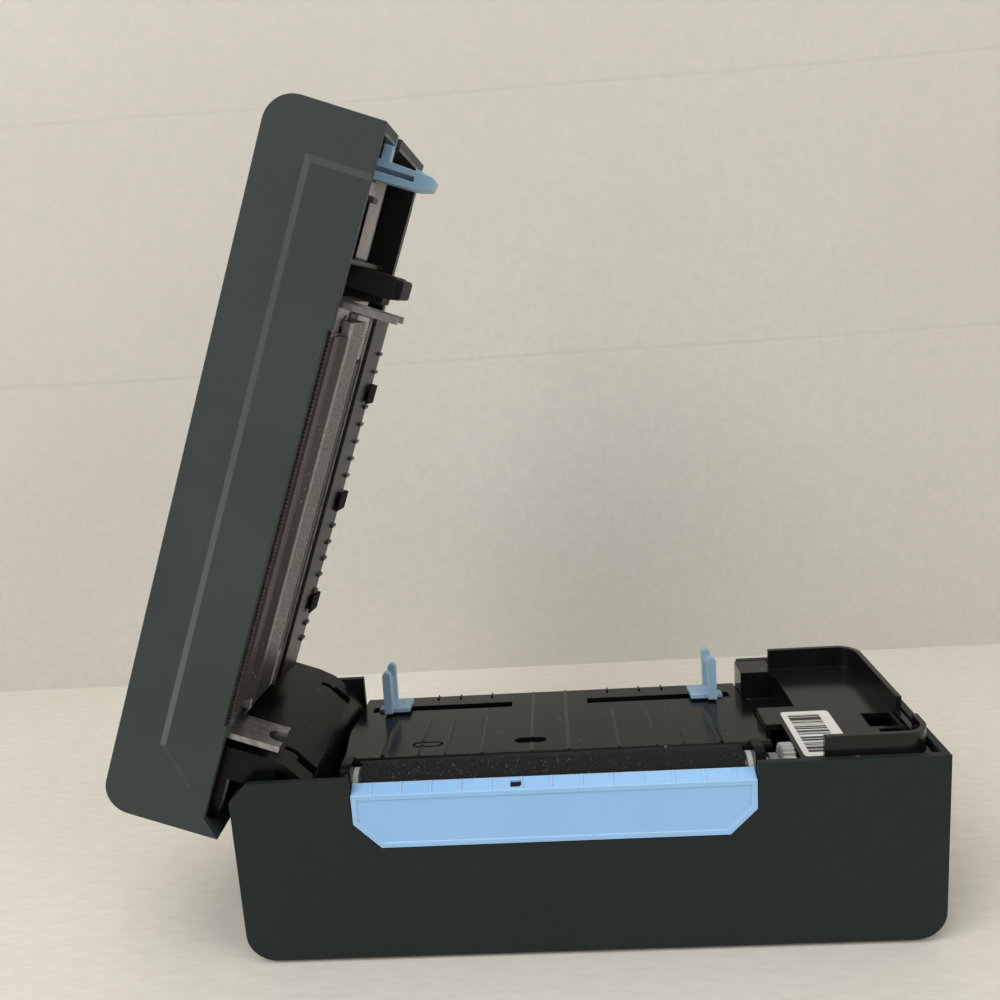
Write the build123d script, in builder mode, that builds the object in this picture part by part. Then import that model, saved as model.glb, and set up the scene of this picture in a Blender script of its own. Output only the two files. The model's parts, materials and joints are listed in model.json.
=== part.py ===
from build123d import *

import os
from math import cos, degrees, atan, pi, radians, sin, sqrt

os.makedirs("parts", exist_ok=True)

# A label printer that stands open: a wide, shallow base with a lid hinged at its left end.
# Lengths are millimetres. X runs to the right along the body, Y away from the side where
# labels come out, Z up. The origin lies on the table, under the middle of the body.

# Casing
body_width = 205.0
body_depth = 79.0
foot_height = 1.2
rim_height = 58.6
lid_height = 30.4
wall = 2.2
bottom_radius = 8.5
top_radius = 8.3
corner_cut = 5.4
seam = 0.3
slack = 0.3

# Hinge of the lid
open_angle = 69.3
hinge_from_left = 6.24
hinge_height = 44.2
hinge_pin_radius = 1.5
hinge_boss_radius = 3.3
hinge_running_gap = 0.08

# Label lane and the sloping deck under it, between the hinge bay and the bay at the right
hinge_bay = 27.2
right_bay = 45.0
deck_half_width = (body_width - hinge_bay - right_bay) / 2
lane_from_left = hinge_bay + deck_half_width
deck_front = 18.2
deck_front_height = 55.6
deck_back_height = 49.3
deck_thickness = 2.0
inlet_half_width = deck_half_width + 1.2
label_half_width = deck_half_width - 14.8

# Platen roller
platen_from_front = 11.0
platen_height = 52.0
platen_radius = 6.35
platen_core_radius = 4.0
platen_half_length = deck_half_width - 10.5
shaft_radius = 2.5
shaft_running_gap = 0.05

# Blue exit bezel
bezel_half_width = platen_half_length + 2.0
bezel_bottom = 37.0
bezel_top = 53.6
bezel_corner = 7.7
bezel_lip_depth = 4.4
bezel_lip_rise = 1.8

# Drive train
gear_module = 0.5
platen_teeth = 24
small_teeth = 16
large_teeth = 40
pinion_teeth = 12
gear_width = 3.4
gear_play = 0.12
idler_direction = -60.0
motor_direction = -45.0
motor_radius = 17.5
motor_length = 18.5
plate_thickness = 1.2

# Label guides and their rack and pinion
guide_from_back = 12.7
guide_travel = 38.0
guide_offset = label_half_width + 4.4
guide_height = 15.4
slot_half_width = 2.75
slot_inner = 13.2
slot_outer = guide_offset + 6.5
rack_module = 1.0
rack_teeth = 10

# Raised deck at the right
side_deck_height = 57.0
side_deck_thickness = 2.0
fence_height = 64.2
fence_thickness = 1.6
fence_radius = 7.0

# Print head
head_gap = 0.3
head_depth = 2.75
head_float = 1.0
head_plate_thickness = 2.6
ceramic_thickness = 0.95
spring_room = 7.0
tab_gap_left = 0.7
tab_gap_right = 2.4
tab_thickness = 1.8
tab_reach = 8.2

# Frame inside the lid
lid_plate_thickness = 2.0
guard_reach = hinge_bay - hinge_from_left - 0.46
guard_thickness = 2.2
arm_thickness = 4.0

# Boards, screws and other bought pieces
board_thickness = 1.6
main_board_height = 10.0
screw_radius = 1.2
screw_head_radius = 2.7
screw_head_height = 1.5

left = -body_width / 2
right = body_width / 2
front = -body_depth / 2
back = body_depth / 2
floor_top = foot_height + wall
lid_rim = rim_height + seam
lid_top = rim_height + lid_height
hinge_x = left + hinge_from_left
lane_x = left + lane_from_left
platen_y = front + platen_from_front
deck_slope = (deck_front_height - deck_back_height) / (body_depth - deck_front)
deck_angle = degrees(atan(deck_slope))
guide_y = back - guide_from_back
deck_left = lane_x - deck_half_width
deck_right = lane_x + deck_half_width
deck_y0 = front + deck_front
deck_y1 = back
side_left = deck_right + 0.2
head_face = platen_height + platen_radius + head_gap
head_plate_height = head_face + head_depth
head_top = head_plate_height + head_plate_thickness
lid_plate_height = head_top + spring_room
tab_bottom = platen_height - tab_reach


def face_plane(y):
    """Upright plane at y as seen from the exit side: X to the right, Z up."""
    return Plane(origin=(0, y, 0), x_dir=(1, 0, 0), z_dir=(0, -1, 0))


def cross_plane(x):
    """Upright plane across the body at x: Y to the right, Z up."""
    return Plane(origin=(x, 0, 0), x_dir=(0, 1, 0), z_dir=(1, 0, 0))


def block(x, y, z, mode=Mode.ADD):
    """A box between three pairs of limits."""
    with Locations(((x[0] + x[1]) / 2, (y[0] + y[1]) / 2, (z[0] + z[1]) / 2)):
        Box(x[1] - x[0], y[1] - y[0], z[1] - z[0], mode=mode)


def rod_x(x, y, z, radius, mode=Mode.ADD):
    """A round bar along X between the two limits of x."""
    with Locations(((x[0] + x[1]) / 2, y, z)):
        Cylinder(radius, x[1] - x[0], rotation=(0, 90, 0), mode=mode)


def rod_y(x, y, z, radius, mode=Mode.ADD):
    """A round bar along Y between the two limits of y."""
    with Locations((x, (y[0] + y[1]) / 2, z)):
        Cylinder(radius, y[1] - y[0], rotation=(90, 0, 0), mode=mode)


def rod_z(x, y, z, radius, mode=Mode.ADD):
    """A round bar along Z between the two limits of z."""
    with Locations((x, y, (z[0] + z[1]) / 2)):
        Cylinder(radius, z[1] - z[0], mode=mode)


def deck_z(y):
    """Height of the label deck's top face at y."""
    return deck_front_height - deck_slope * (y - front - deck_front)


# Base shell
# Posts of the inner mouldings stand on bosses of the floor, and a screw comes up through each.
boss_height = 2.0
boss_radius = 4.2
boss_top = floor_top + boss_height
screw_seat = foot_height + 1.8
deck_post_offset = deck_half_width - 5.4
rack_room = 14.3
deck_posts = [
    (lane_x + side * deck_post_offset, y)
    for side in (-1, 1)
    for y in (deck_y0 + 8.8, guide_y - rack_room)
]
side_posts = [(right - 7.5, front + 9.0), (right - 7.5, back - 9.0), (side_left + 6.6, back - 8.0)]

foot_radius = 6.2
foot_sink = 1.0
foot_inset_x = 19.0
foot_inset_y = 14.0
feet = [(x, y) for x in (left + foot_inset_x, right - foot_inset_x)
        for y in (front + foot_inset_y, back - foot_inset_y)]

inlet_sill = deck_back_height - deck_thickness - 0.2
hinge_boss_length = 2.4
vent_count = 9
vent_pitch = 7.0
vent_width = 2.4
vent_length = 30.0

usb_x = lane_x - 26.0
usb_width = 12.0
usb_height = 11.0
jack_x = lane_x + 4.0
jack_width = 9.4
jack_height = 11.4
rocker_x = right - 24.0
rocker_z = 26.0
rocker_width = 13.0
rocker_height = 19.0
board_top = main_board_height + board_thickness


def exit_outline(grow, top):
    """Corners of the exit opening in the front wall, grown by a clearance, up to the height top."""
    half = bezel_half_width + grow
    low = bezel_bottom - grow
    cut = bezel_corner + 0.586 * grow
    return [
        (lane_x - half, top),
        (lane_x - half, low + cut),
        (lane_x - half + cut, low),
        (lane_x + half - cut, low),
        (lane_x + half, low + cut),
        (lane_x + half, top),
    ]


with BuildPart() as base_shell:
    with BuildSketch(face_plane(front)) as base_outline:
        Polygon(
            (left, foot_height),
            (right, foot_height),
            (right, rim_height),
            (left + corner_cut, rim_height),
            (left, rim_height - corner_cut),
            align=None,
        )
        fillet(base_outline.vertices().group_by(Axis.Y)[0], bottom_radius)
    extrude(amount=-body_depth)
    with BuildSketch(face_plane(front + wall)) as base_cavity:
        Polygon(
            (left + wall, floor_top),
            (right - wall, floor_top),
            (right - wall, lid_top),
            (left + wall, lid_top),
            align=None,
        )
        fillet(base_cavity.vertices().group_by(Axis.Y)[0], bottom_radius - wall)
    extrude(amount=-(body_depth - 2 * wall), mode=Mode.SUBTRACT)
    # Opening for the bezel in the front wall, and the label inlet in the rear wall.
    with BuildSketch(face_plane(front)):
        Polygon(*exit_outline(slack, lid_top), align=None)
    extrude(amount=-wall, mode=Mode.SUBTRACT)
    block(
        (lane_x - inlet_half_width, lane_x + inlet_half_width),
        (back - wall, back),
        (inlet_sill, lid_top),
        Mode.SUBTRACT,
    )
    # Bosses for the hinge pins.
    for y in ((front + wall, front + wall + hinge_boss_length),
              (back - wall - hinge_boss_length, back - wall)):
        rod_y(hinge_x, y, hinge_height, hinge_boss_radius)
    for y in ((front + wall / 2, front + wall + hinge_boss_length),
              (back - wall - hinge_boss_length, back - wall / 2)):
        rod_y(hinge_x, y, hinge_height, hinge_pin_radius, Mode.SUBTRACT)
    # Bosses, screw holes, foot recesses and vents of the floor.
    for x, y in deck_posts + side_posts:
        rod_z(x, y, (floor_top - 0.2, boss_top), boss_radius)
    for x, y in deck_posts + side_posts:
        rod_z(x, y, (foot_height, screw_seat), screw_head_radius + slack, Mode.SUBTRACT)
        rod_z(x, y, (screw_seat, boss_top), screw_radius + slack, Mode.SUBTRACT)
    for x, y in feet:
        rod_z(x, y, (foot_height, foot_height + foot_sink), foot_radius, Mode.SUBTRACT)
    for i in range(vent_count):
        x = lane_x + (i - (vent_count - 1) / 2) * vent_pitch
        block((x - vent_width / 2, x + vent_width / 2), (-vent_length / 2, vent_length / 2),
              (foot_height, floor_top), Mode.SUBTRACT)
    # Openings in the rear wall for the data socket, the power socket and the rocker switch.
    for x, width, z in (
        (usb_x, usb_width, (board_top, board_top + usb_height)),
        (jack_x, jack_width, (board_top, board_top + jack_height)),
        (rocker_x, rocker_width, (rocker_z - rocker_height / 2, rocker_z + rocker_height / 2)),
    ):
        block((x - width / 2 - slack, x + width / 2 + slack), (back - wall, back),
              (z[0] - slack, z[1] + slack), Mode.SUBTRACT)
    # Standoffs of the main board.
    board_half_width = 46.0
    board_front = front + 26.0
    board_back = back - wall - 0.6
    standoffs = [(lane_x + side * (board_half_width - 4.5), y)
                 for side in (-1, 1) for y in (board_front + 4.5, board_back - 4.5)]
    for x, y in standoffs:
        rod_z(x, y, (floor_top - 0.2, main_board_height), 3.2)
        rod_z(x, y, (floor_top, main_board_height), screw_radius, Mode.SUBTRACT)

with BuildPart() as rubber_feet:
    for x, y in feet:
        rod_z(x, y, (0, foot_height + foot_sink), foot_radius - 0.15)
    chamfer(rubber_feet.edges().filter_by(GeomType.CIRCLE).group_by(Axis.Z)[0], 0.4)

screw_length = 10.0
with BuildPart() as frame_screws:
    for x, y in deck_posts + side_posts:
        rod_z(x, y, (screw_seat - screw_head_height, screw_seat), screw_head_radius)
        rod_z(x, y, (screw_seat, screw_seat + screw_length), screw_radius)
        with Locations((x, y, screw_seat - screw_head_height)):
            Cylinder(1.1, 1.6, mode=Mode.SUBTRACT)

# Label deck: the sloping plate, its ribs, slots, skirts, posts and the cheeks that hold the roller
middle_rib = 5.65
rib_offsets = [20.9, 32.3, 40.4]
rib_size = (1.1, 0.45)
edge_rib_size = (1.6, 0.8)
nub_size = (1.1, 0.9)
rib_end = 55.0
front_roll = 2.0
corner_back = 44.0
corner_in = 3.4
skirt_bottom = 42.0
skirt_thickness = 1.6
post_radius = 3.2
cheek_thickness = 3.0
cheek_gap = 2.6
cheek_top = 59.8
cheek_reach = 6.2
cheek_crown = 1.8
cheek_slit = 0.4
slit_depth = 3.2
cheek_bottom = 41.0
bush_radius = 3.5
bush_flange_radius = 4.6
cheek_inner = platen_half_length + cheek_gap
cheek_outer = cheek_inner + cheek_thickness
sensor_offset = -6.2
sensor_y = front + 29.6
sensor_length = 10.0
sensor_width = 4.7
marker_offset = -38.7
rack_clear = 8.8


def deck_band(x, y_low, y_high, low, high):
    """A bar along X on the slope: from y_low to y_high, and low to high above the deck's top face."""
    return [
        (y_low, deck_z(y_low) + low),
        (y_high, deck_z(y_high) + low),
        (y_high, deck_z(y_high) + high),
        (y_low, deck_z(y_low) + high),
    ]


def slope_bar(x, y, lift, mode=Mode.ADD):
    """A bar between the limits x and y whose faces follow the deck, between two lifts above it."""
    with BuildSketch(cross_plane(x[0])) as bar_outline:
        Polygon(*deck_band(x, y[0], y[1], lift[0], lift[1]), align=None)
    extrude(bar_outline.sketch, amount=x[1] - x[0], mode=mode)


def deck_rib(x, y, size):
    """A rib with a sharp crest that runs down the deck between two limits of y."""
    width, height = size
    length = (y[1] - y[0]) / cos(radians(deck_angle))
    along = Plane(
        origin=(x, y[0], deck_z(y[0])),
        x_dir=(1, 0, 0),
        z_dir=(0, -cos(radians(deck_angle)), sin(radians(deck_angle))),
    )
    with BuildSketch(along) as rib_outline:
        Polygon((-width / 2, -0.2), (width / 2, -0.2), (width / 2, 0), (0, height), (-width / 2, 0),
                align=None)
    extrude(rib_outline.sketch, amount=-length)


shell_back = back - wall - slack

with BuildPart() as media_deck:
    # The plate with its rolled front edge and front skirt, then the skirts at both sides.
    with BuildSketch(cross_plane(deck_left)) as plate_outline:
        Polygon(
            (deck_y0, skirt_bottom + 4),
            (deck_y0, deck_front_height),
            (deck_y1, deck_z(deck_y1)),
            (deck_y1, deck_z(deck_y1) - deck_thickness),
            (deck_y0 + skirt_thickness, deck_z(deck_y0 + skirt_thickness) - deck_thickness),
            (deck_y0 + skirt_thickness, skirt_bottom + 4),
            align=None,
        )
        fillet(plate_outline.vertices().group_by(Axis.Y)[-1], front_roll)
    extrude(amount=deck_right - deck_left)
    for x in ((deck_left, deck_left + skirt_thickness), (deck_right - skirt_thickness, deck_right)):
        with BuildSketch(cross_plane(x[0])):
            Polygon(
                (deck_y0, skirt_bottom),
                (shell_back, skirt_bottom),
                (shell_back, deck_z(shell_back) - deck_thickness / 2),
                (deck_y0 + front_roll, deck_z(deck_y0 + front_roll) - deck_thickness / 2),
                (deck_y0, deck_front_height - front_roll - 1.0),
                align=None,
            )
        extrude(amount=skirt_thickness)
    # The left end narrows towards the front.
    with BuildSketch(Plane.XY.offset(skirt_bottom)):
        Polygon(
            (deck_left, front + corner_back),
            (deck_left, deck_y0),
            (deck_left + corner_in, deck_y0),
            align=None,
        )
    extrude(amount=lid_top - skirt_bottom, mode=Mode.SUBTRACT)
    # Cheeks at both ends of the roller.
    cheek_front = platen_y - cheek_reach
    cheek_back = deck_y0 + skirt_thickness
    for side in (-1, 1):
        x = sorted((lane_x + side * cheek_inner, lane_x + side * cheek_outer))
        with BuildSketch(cross_plane(x[0])):
            Polygon(
                (cheek_front, cheek_bottom),
                (cheek_back, cheek_bottom),
                (cheek_back, deck_front_height - 0.8),
                (cheek_back - 2.6, deck_front_height + 0.6),
                (platen_y + cheek_crown, cheek_top),
                (cheek_front + 2.4, cheek_top),
                (cheek_front + 0.7, cheek_top - 0.8),
                (cheek_front, cheek_top - 2.4),
                align=None,
            )
        extrude(amount=cheek_thickness)
        rod_x(x, platen_y, platen_height, bush_radius, Mode.SUBTRACT)
        block(x, (cheek_front + 2.6, cheek_front + 2.6 + cheek_slit), (cheek_top - slit_depth, cheek_top),
              Mode.SUBTRACT)
    # Ribs that carry the label, short nubs at the rear edge.
    for side in (-1, 1):
        for aside in rib_offsets:
            x = lane_x + side * aside
            deck_rib(x, (deck_y0 + front_roll, front + rib_end), rib_size)
            deck_rib(x, (back - 3.0, back - 0.3), nub_size)
        deck_rib(lane_x + side * middle_rib, (deck_y0 + front_roll, back - 0.3), rib_size)
        deck_rib(lane_x + side * label_half_width, (deck_y0 + front_roll, front + rib_end),
                 edge_rib_size)
    # Slots for the label guides, the sensor hole and a marked place beside it.
    for side in (-1, 1):
        x = sorted((lane_x + side * slot_inner, lane_x + side * slot_outer))
        block(x, (guide_y - slot_half_width, guide_y + slot_half_width),
              (skirt_bottom, rim_height), Mode.SUBTRACT)
    with BuildSketch(Plane.XY.offset(skirt_bottom)):
        with Locations((lane_x + sensor_offset, sensor_y)):
            SlotOverall(sensor_length, sensor_width)
    extrude(amount=rim_height - skirt_bottom, mode=Mode.SUBTRACT)
    with BuildSketch(Plane.XY.offset(deck_z(sensor_y) - 0.6)):
        with Locations((lane_x + marker_offset, sensor_y)):
            SlotOverall(sensor_length, sensor_width)
            SlotOverall(sensor_length - 2.0, sensor_width - 2.0, mode=Mode.SUBTRACT)
    extrude(amount=2.0, mode=Mode.SUBTRACT)
    # Posts down to the floor, each with the bore of its screw.
    for x, y in deck_posts:
        rod_z(x, y, (boss_top, deck_z(y) - 0.5), post_radius)
        rod_z(x, y, (boss_top, boss_top + screw_length), screw_radius + 0.05, Mode.SUBTRACT)

# White bushes of the roller, one in each cheek
bush_proud = 0.3
with BuildPart() as platen_bushes:
    for side in (-1, 1):
        flange = sorted((lane_x + side * (cheek_inner - 1.6), lane_x + side * cheek_inner))
        barrel = sorted((lane_x + side * (cheek_inner - 1.6), lane_x + side * (cheek_outer + bush_proud)))
        rod_x(flange, platen_y, platen_height, bush_flange_radius)
        rod_x(barrel, platen_y, platen_height, bush_radius)
        rod_x(barrel, platen_y, platen_height, shaft_radius + shaft_running_gap, Mode.SUBTRACT)

# Roller: a stepped steel shaft, its rubber sleeve and the ring that the head's right tab straddles
ring_radius = 3.7
ring_length = 2.6
tab_inner = {-1: cheek_outer + tab_gap_left, 1: cheek_outer + tab_gap_right}
gear_x = lane_x + tab_inner[1] + tab_thickness + 1.4
shaft_left = lane_x - cheek_outer - bush_proud
shaft_right = gear_x + gear_width

with BuildPart() as platen_shaft:
    rod_x((shaft_left, shaft_right), platen_y, platen_height, shaft_radius)
    rod_x((lane_x - platen_half_length, lane_x + platen_half_length), platen_y, platen_height,
          platen_core_radius)

with BuildPart() as platen_rubber:
    rod_x((lane_x - platen_half_length, lane_x + platen_half_length), platen_y, platen_height,
          platen_radius)
    fillet(platen_rubber.edges().filter_by(GeomType.CIRCLE), 0.4)
    rod_x((lane_x - platen_half_length, lane_x + platen_half_length), platen_y, platen_height,
          platen_core_radius, Mode.SUBTRACT)

with BuildPart() as locating_ring:
    x = (lane_x + tab_inner[1] - 0.4, lane_x + tab_inner[1] - 0.4 + ring_length)
    rod_x(x, platen_y, platen_height, ring_radius)
    rod_x(x, platen_y, platen_height, shaft_radius, Mode.SUBTRACT)

# Stud on the left cheek that the head's left tab straddles
stud_radius = 2.7
stud_drop = 6.5
with BuildPart() as locating_stud:
    x = (lane_x - tab_inner[-1] - tab_thickness - 0.9, lane_x - cheek_outer)
    rod_x(x, platen_y, platen_height - stud_drop, stud_radius)
    chamfer(locating_stud.edges().filter_by(GeomType.CIRCLE).group_by(Axis.X)[0], 0.4)


def draw_gear(teeth, module, first_tooth):
    """Spur gear outline: a root disc and one tapering tooth per pitch, the first at an angle."""
    pitch_radius = teeth * module / 2
    root = pitch_radius - 1.25 * module
    tip = pitch_radius + module
    pitch = pi * module
    Circle(root)
    with PolarLocations(0, teeth, start_angle=first_tooth):
        Polygon(
            (root * 0.96, -0.31 * pitch),
            (pitch_radius, -0.22 * pitch),
            (tip, -0.1 * pitch),
            (tip, 0.1 * pitch),
            (pitch_radius, 0.22 * pitch),
            (root * 0.96, 0.31 * pitch),
            align=None,
        )


def gear_plane(x, y, z):
    """Plane across the shaft at x, centred on the gear's axis."""
    return Plane(origin=(x, y, z), x_dir=(0, 1, 0), z_dir=(1, 0, 0))


# Centres of the drive train, seen along +X
idler_distance = (platen_teeth + small_teeth) * gear_module / 2 + gear_play
idler_y = platen_y + idler_distance * cos(radians(idler_direction))
idler_z = platen_height + idler_distance * sin(radians(idler_direction))
motor_distance = (large_teeth + pinion_teeth) * gear_module / 2 + gear_play
motor_y = idler_y + motor_distance * cos(radians(motor_direction))
motor_z = idler_z + motor_distance * sin(radians(motor_direction))
large_x = gear_x + gear_width + 0.5
drive_plate_x = large_x + gear_width + 1.0
motor_x = drive_plate_x + plate_thickness
motor_shaft_radius = 1.0
idler_pin_radius = 1.5

with BuildPart() as platen_gear:
    with BuildSketch(gear_plane(gear_x, platen_y, platen_height)):
        draw_gear(platen_teeth, gear_module, idler_direction)
        Circle(shaft_radius, mode=Mode.SUBTRACT)
    extrude(amount=gear_width)

with BuildPart() as reduction_gear:
    with BuildSketch(gear_plane(gear_x, idler_y, idler_z)):
        draw_gear(small_teeth, gear_module, idler_direction + 180 + 180 / small_teeth)
    extrude(amount=gear_width + 0.5)
    with BuildSketch(gear_plane(large_x, idler_y, idler_z)):
        draw_gear(large_teeth, gear_module, motor_direction)
    extrude(amount=gear_width)
    rod_x((gear_x - 0.1, large_x + gear_width + 0.1), idler_y, idler_z,
          idler_pin_radius + shaft_running_gap, Mode.SUBTRACT)

with BuildPart() as motor_pinion:
    with BuildSketch(gear_plane(large_x, motor_y, motor_z)):
        draw_gear(pinion_teeth, gear_module, motor_direction + 180 + 180 / pinion_teeth)
    extrude(amount=gear_width)
    rod_x((large_x, motor_x + 1.0), motor_y, motor_z, motor_shaft_radius)

plate_front = front + 7.0
plate_back = front + 45.0
plate_foot = 9.0
plate_top = idler_z + 4.0
motor_boss_radius = 4.0
motor_bolt_offset = 15.0

with BuildPart() as drive_plate:
    block((drive_plate_x, drive_plate_x + plate_thickness), (plate_front, plate_back),
          (floor_top, plate_top))
    block((drive_plate_x - plate_foot, drive_plate_x), (plate_front, plate_back),
          (floor_top, floor_top + plate_thickness))
    x = (drive_plate_x, drive_plate_x + plate_thickness)
    rod_x(x, motor_y, motor_z, motor_boss_radius + 0.2, Mode.SUBTRACT)
    rod_x(x, idler_y, idler_z, idler_pin_radius, Mode.SUBTRACT)
    for turn in (45, 225):
        rod_x(x, motor_y + motor_bolt_offset * cos(radians(turn)),
              motor_z + motor_bolt_offset * sin(radians(turn)), screw_radius, Mode.SUBTRACT)
    for y in (plate_front + 6.0, plate_back - 6.0):
        rod_z(drive_plate_x - plate_foot / 2, y, (floor_top, floor_top + plate_thickness),
              screw_radius + 0.3, Mode.SUBTRACT)

with BuildPart() as plate_screws:
    for y in (plate_front + 6.0, plate_back - 6.0):
        x = drive_plate_x - plate_foot / 2
        rod_z(x, y, (floor_top + plate_thickness, floor_top + plate_thickness + screw_head_height),
              screw_head_radius)
        rod_z(x, y, (floor_top, floor_top + plate_thickness), screw_radius)

with BuildPart() as idler_pin:
    rod_x((gear_x - 0.6, motor_x), idler_y, idler_z, idler_pin_radius)

with BuildPart() as stepper_motor:
    rod_x((motor_x, motor_x + motor_length), motor_y, motor_z, motor_radius)
    fillet(stepper_motor.edges().filter_by(GeomType.CIRCLE).group_by(Axis.X)[-1], 1.5)
    rod_x((motor_x - plate_thickness, motor_x), motor_y, motor_z, motor_boss_radius)
    rod_x((motor_x - plate_thickness, motor_x + 3.0), motor_y, motor_z,
          motor_shaft_radius + shaft_running_gap, Mode.SUBTRACT)

with BuildPart() as motor_screws:
    for turn in (45, 225):
        y = motor_y + motor_bolt_offset * cos(radians(turn))
        z = motor_z + motor_bolt_offset * sin(radians(turn))
        rod_x((drive_plate_x - screw_head_height, drive_plate_x), y, z, 2.2)
        rod_x((drive_plate_x, motor_x), y, z, screw_radius)

# Raised deck at the right, with its fence, the recess for the lid's block and the latch window
side_right = right - wall - 0.6
side_front = front + wall + 0.6
side_back = shell_back - slack
lane_wall_thickness = 1.6
window_back = front + 27.6
window_right = gear_x + gear_width + 0.9
recess_front = front + 40.0
recess_back = front + 65.4
recess_right = side_left + 11.8
recess_floor = 49.0
fence_left = side_left + 10.8
fence_right = right - 3.8
fence_run = 20.0
fence_front = front + 3.1
fence_back = back - 6.4
fence_step = 59.2
step_front = front + 15.6
step_back = front + 27.9
latch_front = front + 23.8
latch_back = front + 31.4
latch_tab_y = (latch_front, step_back - 0.4)
arm_x = (right - 12.4, right - 6.8)
nub_reach = 0.7
small_window = ((right - 12.7, right - 5.5), (front + 17.0, front + 21.6))
latch_window = ((right - 14.6, arm_x[1] + nub_reach + 0.2), (front + 23.2, front + 32.6))
deck_z1 = side_deck_height
deck_z0 = side_deck_height - side_deck_thickness

with BuildPart() as side_deck:
    block((side_left, side_right), (side_front, side_back), (deck_z0, deck_z1))
    block((side_left, window_right), (side_front, window_back), (deck_z0, deck_z1), Mode.SUBTRACT)
    # Wall along the lane, with the rear part up to the rim.
    block((side_left, side_left + lane_wall_thickness), (window_back, side_back),
          (skirt_bottom + 4, deck_z1))
    block((side_left, fence_left), (recess_back, side_back), (deck_z1, rim_height))
    # Recess that takes the block of the lid.
    block((side_left, recess_right + 1.4), (recess_front - 1.4, recess_back + 1.4),
          (recess_floor - 1.4, deck_z1))
    block((side_left, recess_right), (recess_front, recess_back), (recess_floor, deck_z1), Mode.SUBTRACT)
    # Fence round the right end.
    with BuildSketch(Plane.XY.offset(deck_z1)) as fence_outline:
        with Locations(((fence_left - fence_run + fence_right) / 2, (fence_front + fence_back) / 2)):
            Rectangle(fence_right - fence_left + fence_run, fence_back - fence_front)
        fillet(fence_outline.vertices().group_by(Axis.X)[-1], fence_radius)
        offset(amount=-fence_thickness, mode=Mode.SUBTRACT)
        with Locations((fence_left - fence_run, (fence_front + fence_back) / 2)):
            Rectangle(2 * fence_run, fence_back - fence_front, mode=Mode.SUBTRACT)
    extrude(amount=fence_height - deck_z1)
    block((fence_right - fence_thickness, fence_right), (step_front, step_back),
          (fence_step, fence_height), Mode.SUBTRACT)
    # Window under the latch, and the smaller one in front of it.
    for window in (latch_window, small_window):
        block(window[0], window[1], (deck_z0, deck_z1), Mode.SUBTRACT)
    # Screw hole in the deck.
    deck_screw_x = right - 14.6
    deck_screw_y = front + 64.3
    rod_z(deck_screw_x, deck_screw_y, (deck_z0 - 6.0, deck_z0), post_radius)
    rod_z(deck_screw_x, deck_screw_y, (deck_z0 - 6.0, deck_z1), screw_radius + 0.05, Mode.SUBTRACT)
    rod_z(deck_screw_x, deck_screw_y, (deck_z1 - 0.8, deck_z1), screw_head_radius + 0.2, Mode.SUBTRACT)
    for x, y in side_posts:
        rod_z(x, y, (boss_top, deck_z0), post_radius)
        rod_z(x, y, (boss_top, boss_top + screw_length), screw_radius + 0.05, Mode.SUBTRACT)

with BuildPart() as deck_screw:
    rod_z(deck_screw_x, deck_screw_y, (deck_z1 - 0.8, deck_z1 - 0.1), screw_head_radius)
    rod_z(deck_screw_x, deck_screw_y, (deck_z0 - 5.0, deck_z1 - 0.8), screw_radius)

# Exit bezel: a panel in the front wall with a lip that slopes up to the roller
flange_grow = 1.6
flange_thickness = 1.0
panel_border = 1.5
panel_sink = 0.3
ridge_count = 13
ridge_pitch = 8.7
lip_thickness = 1.4
window_offset = -10.2
window_size = 3.2

with BuildPart() as exit_bezel:
    with BuildSketch(face_plane(front)):
        Polygon(*exit_outline(0, bezel_top), align=None)
    extrude(amount=-wall)
    with BuildSketch(face_plane(front + wall)):
        Polygon(*exit_outline(flange_grow, bezel_top - 1.0), align=None)
    extrude(amount=-flange_thickness)
    with BuildSketch(face_plane(front)) as panel:
        Polygon(*exit_outline(0, bezel_top), align=None)
        offset(amount=-panel_border, kind=Kind.INTERSECTION, mode=Mode.REPLACE)
    extrude(amount=-panel_sink, mode=Mode.SUBTRACT)
    lip_back = front + bezel_lip_depth
    lip_top = bezel_top + bezel_lip_rise
    with BuildSketch(cross_plane(lane_x - bezel_half_width)):
        Polygon(
            (front, bezel_top - lip_thickness),
            (lip_back, lip_top - lip_thickness),
            (lip_back, lip_top),
            (front, bezel_top),
            align=None,
        )
    extrude(amount=2 * bezel_half_width)
    # Small ridges across the lip.
    for i in range(ridge_count):
        x = lane_x + (i - (ridge_count - 1) / 2) * ridge_pitch
        with BuildSketch(cross_plane(x - 0.3)):
            Polygon(
                (front + 0.3, bezel_top),
                (lip_back - 0.4, lip_top - 0.2),
                (lip_back - 0.4, lip_top + 0.25),
                (front + 0.3, bezel_top + 0.45),
                align=None,
            )
        extrude(amount=0.6)
    block((lane_x + window_offset - window_size / 2, lane_x + window_offset + window_size / 2),
          (front + 1.1, front + 3.3), (bezel_top - 1.6, lid_top), Mode.SUBTRACT)

with BuildPart() as exit_sensor:
    block((lane_x + window_offset - window_size / 2 + 0.1, lane_x + window_offset + window_size / 2 - 0.1),
          (front + 1.2, front + 3.2), (bezel_top - 1.6, bezel_top + 0.75))

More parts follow.
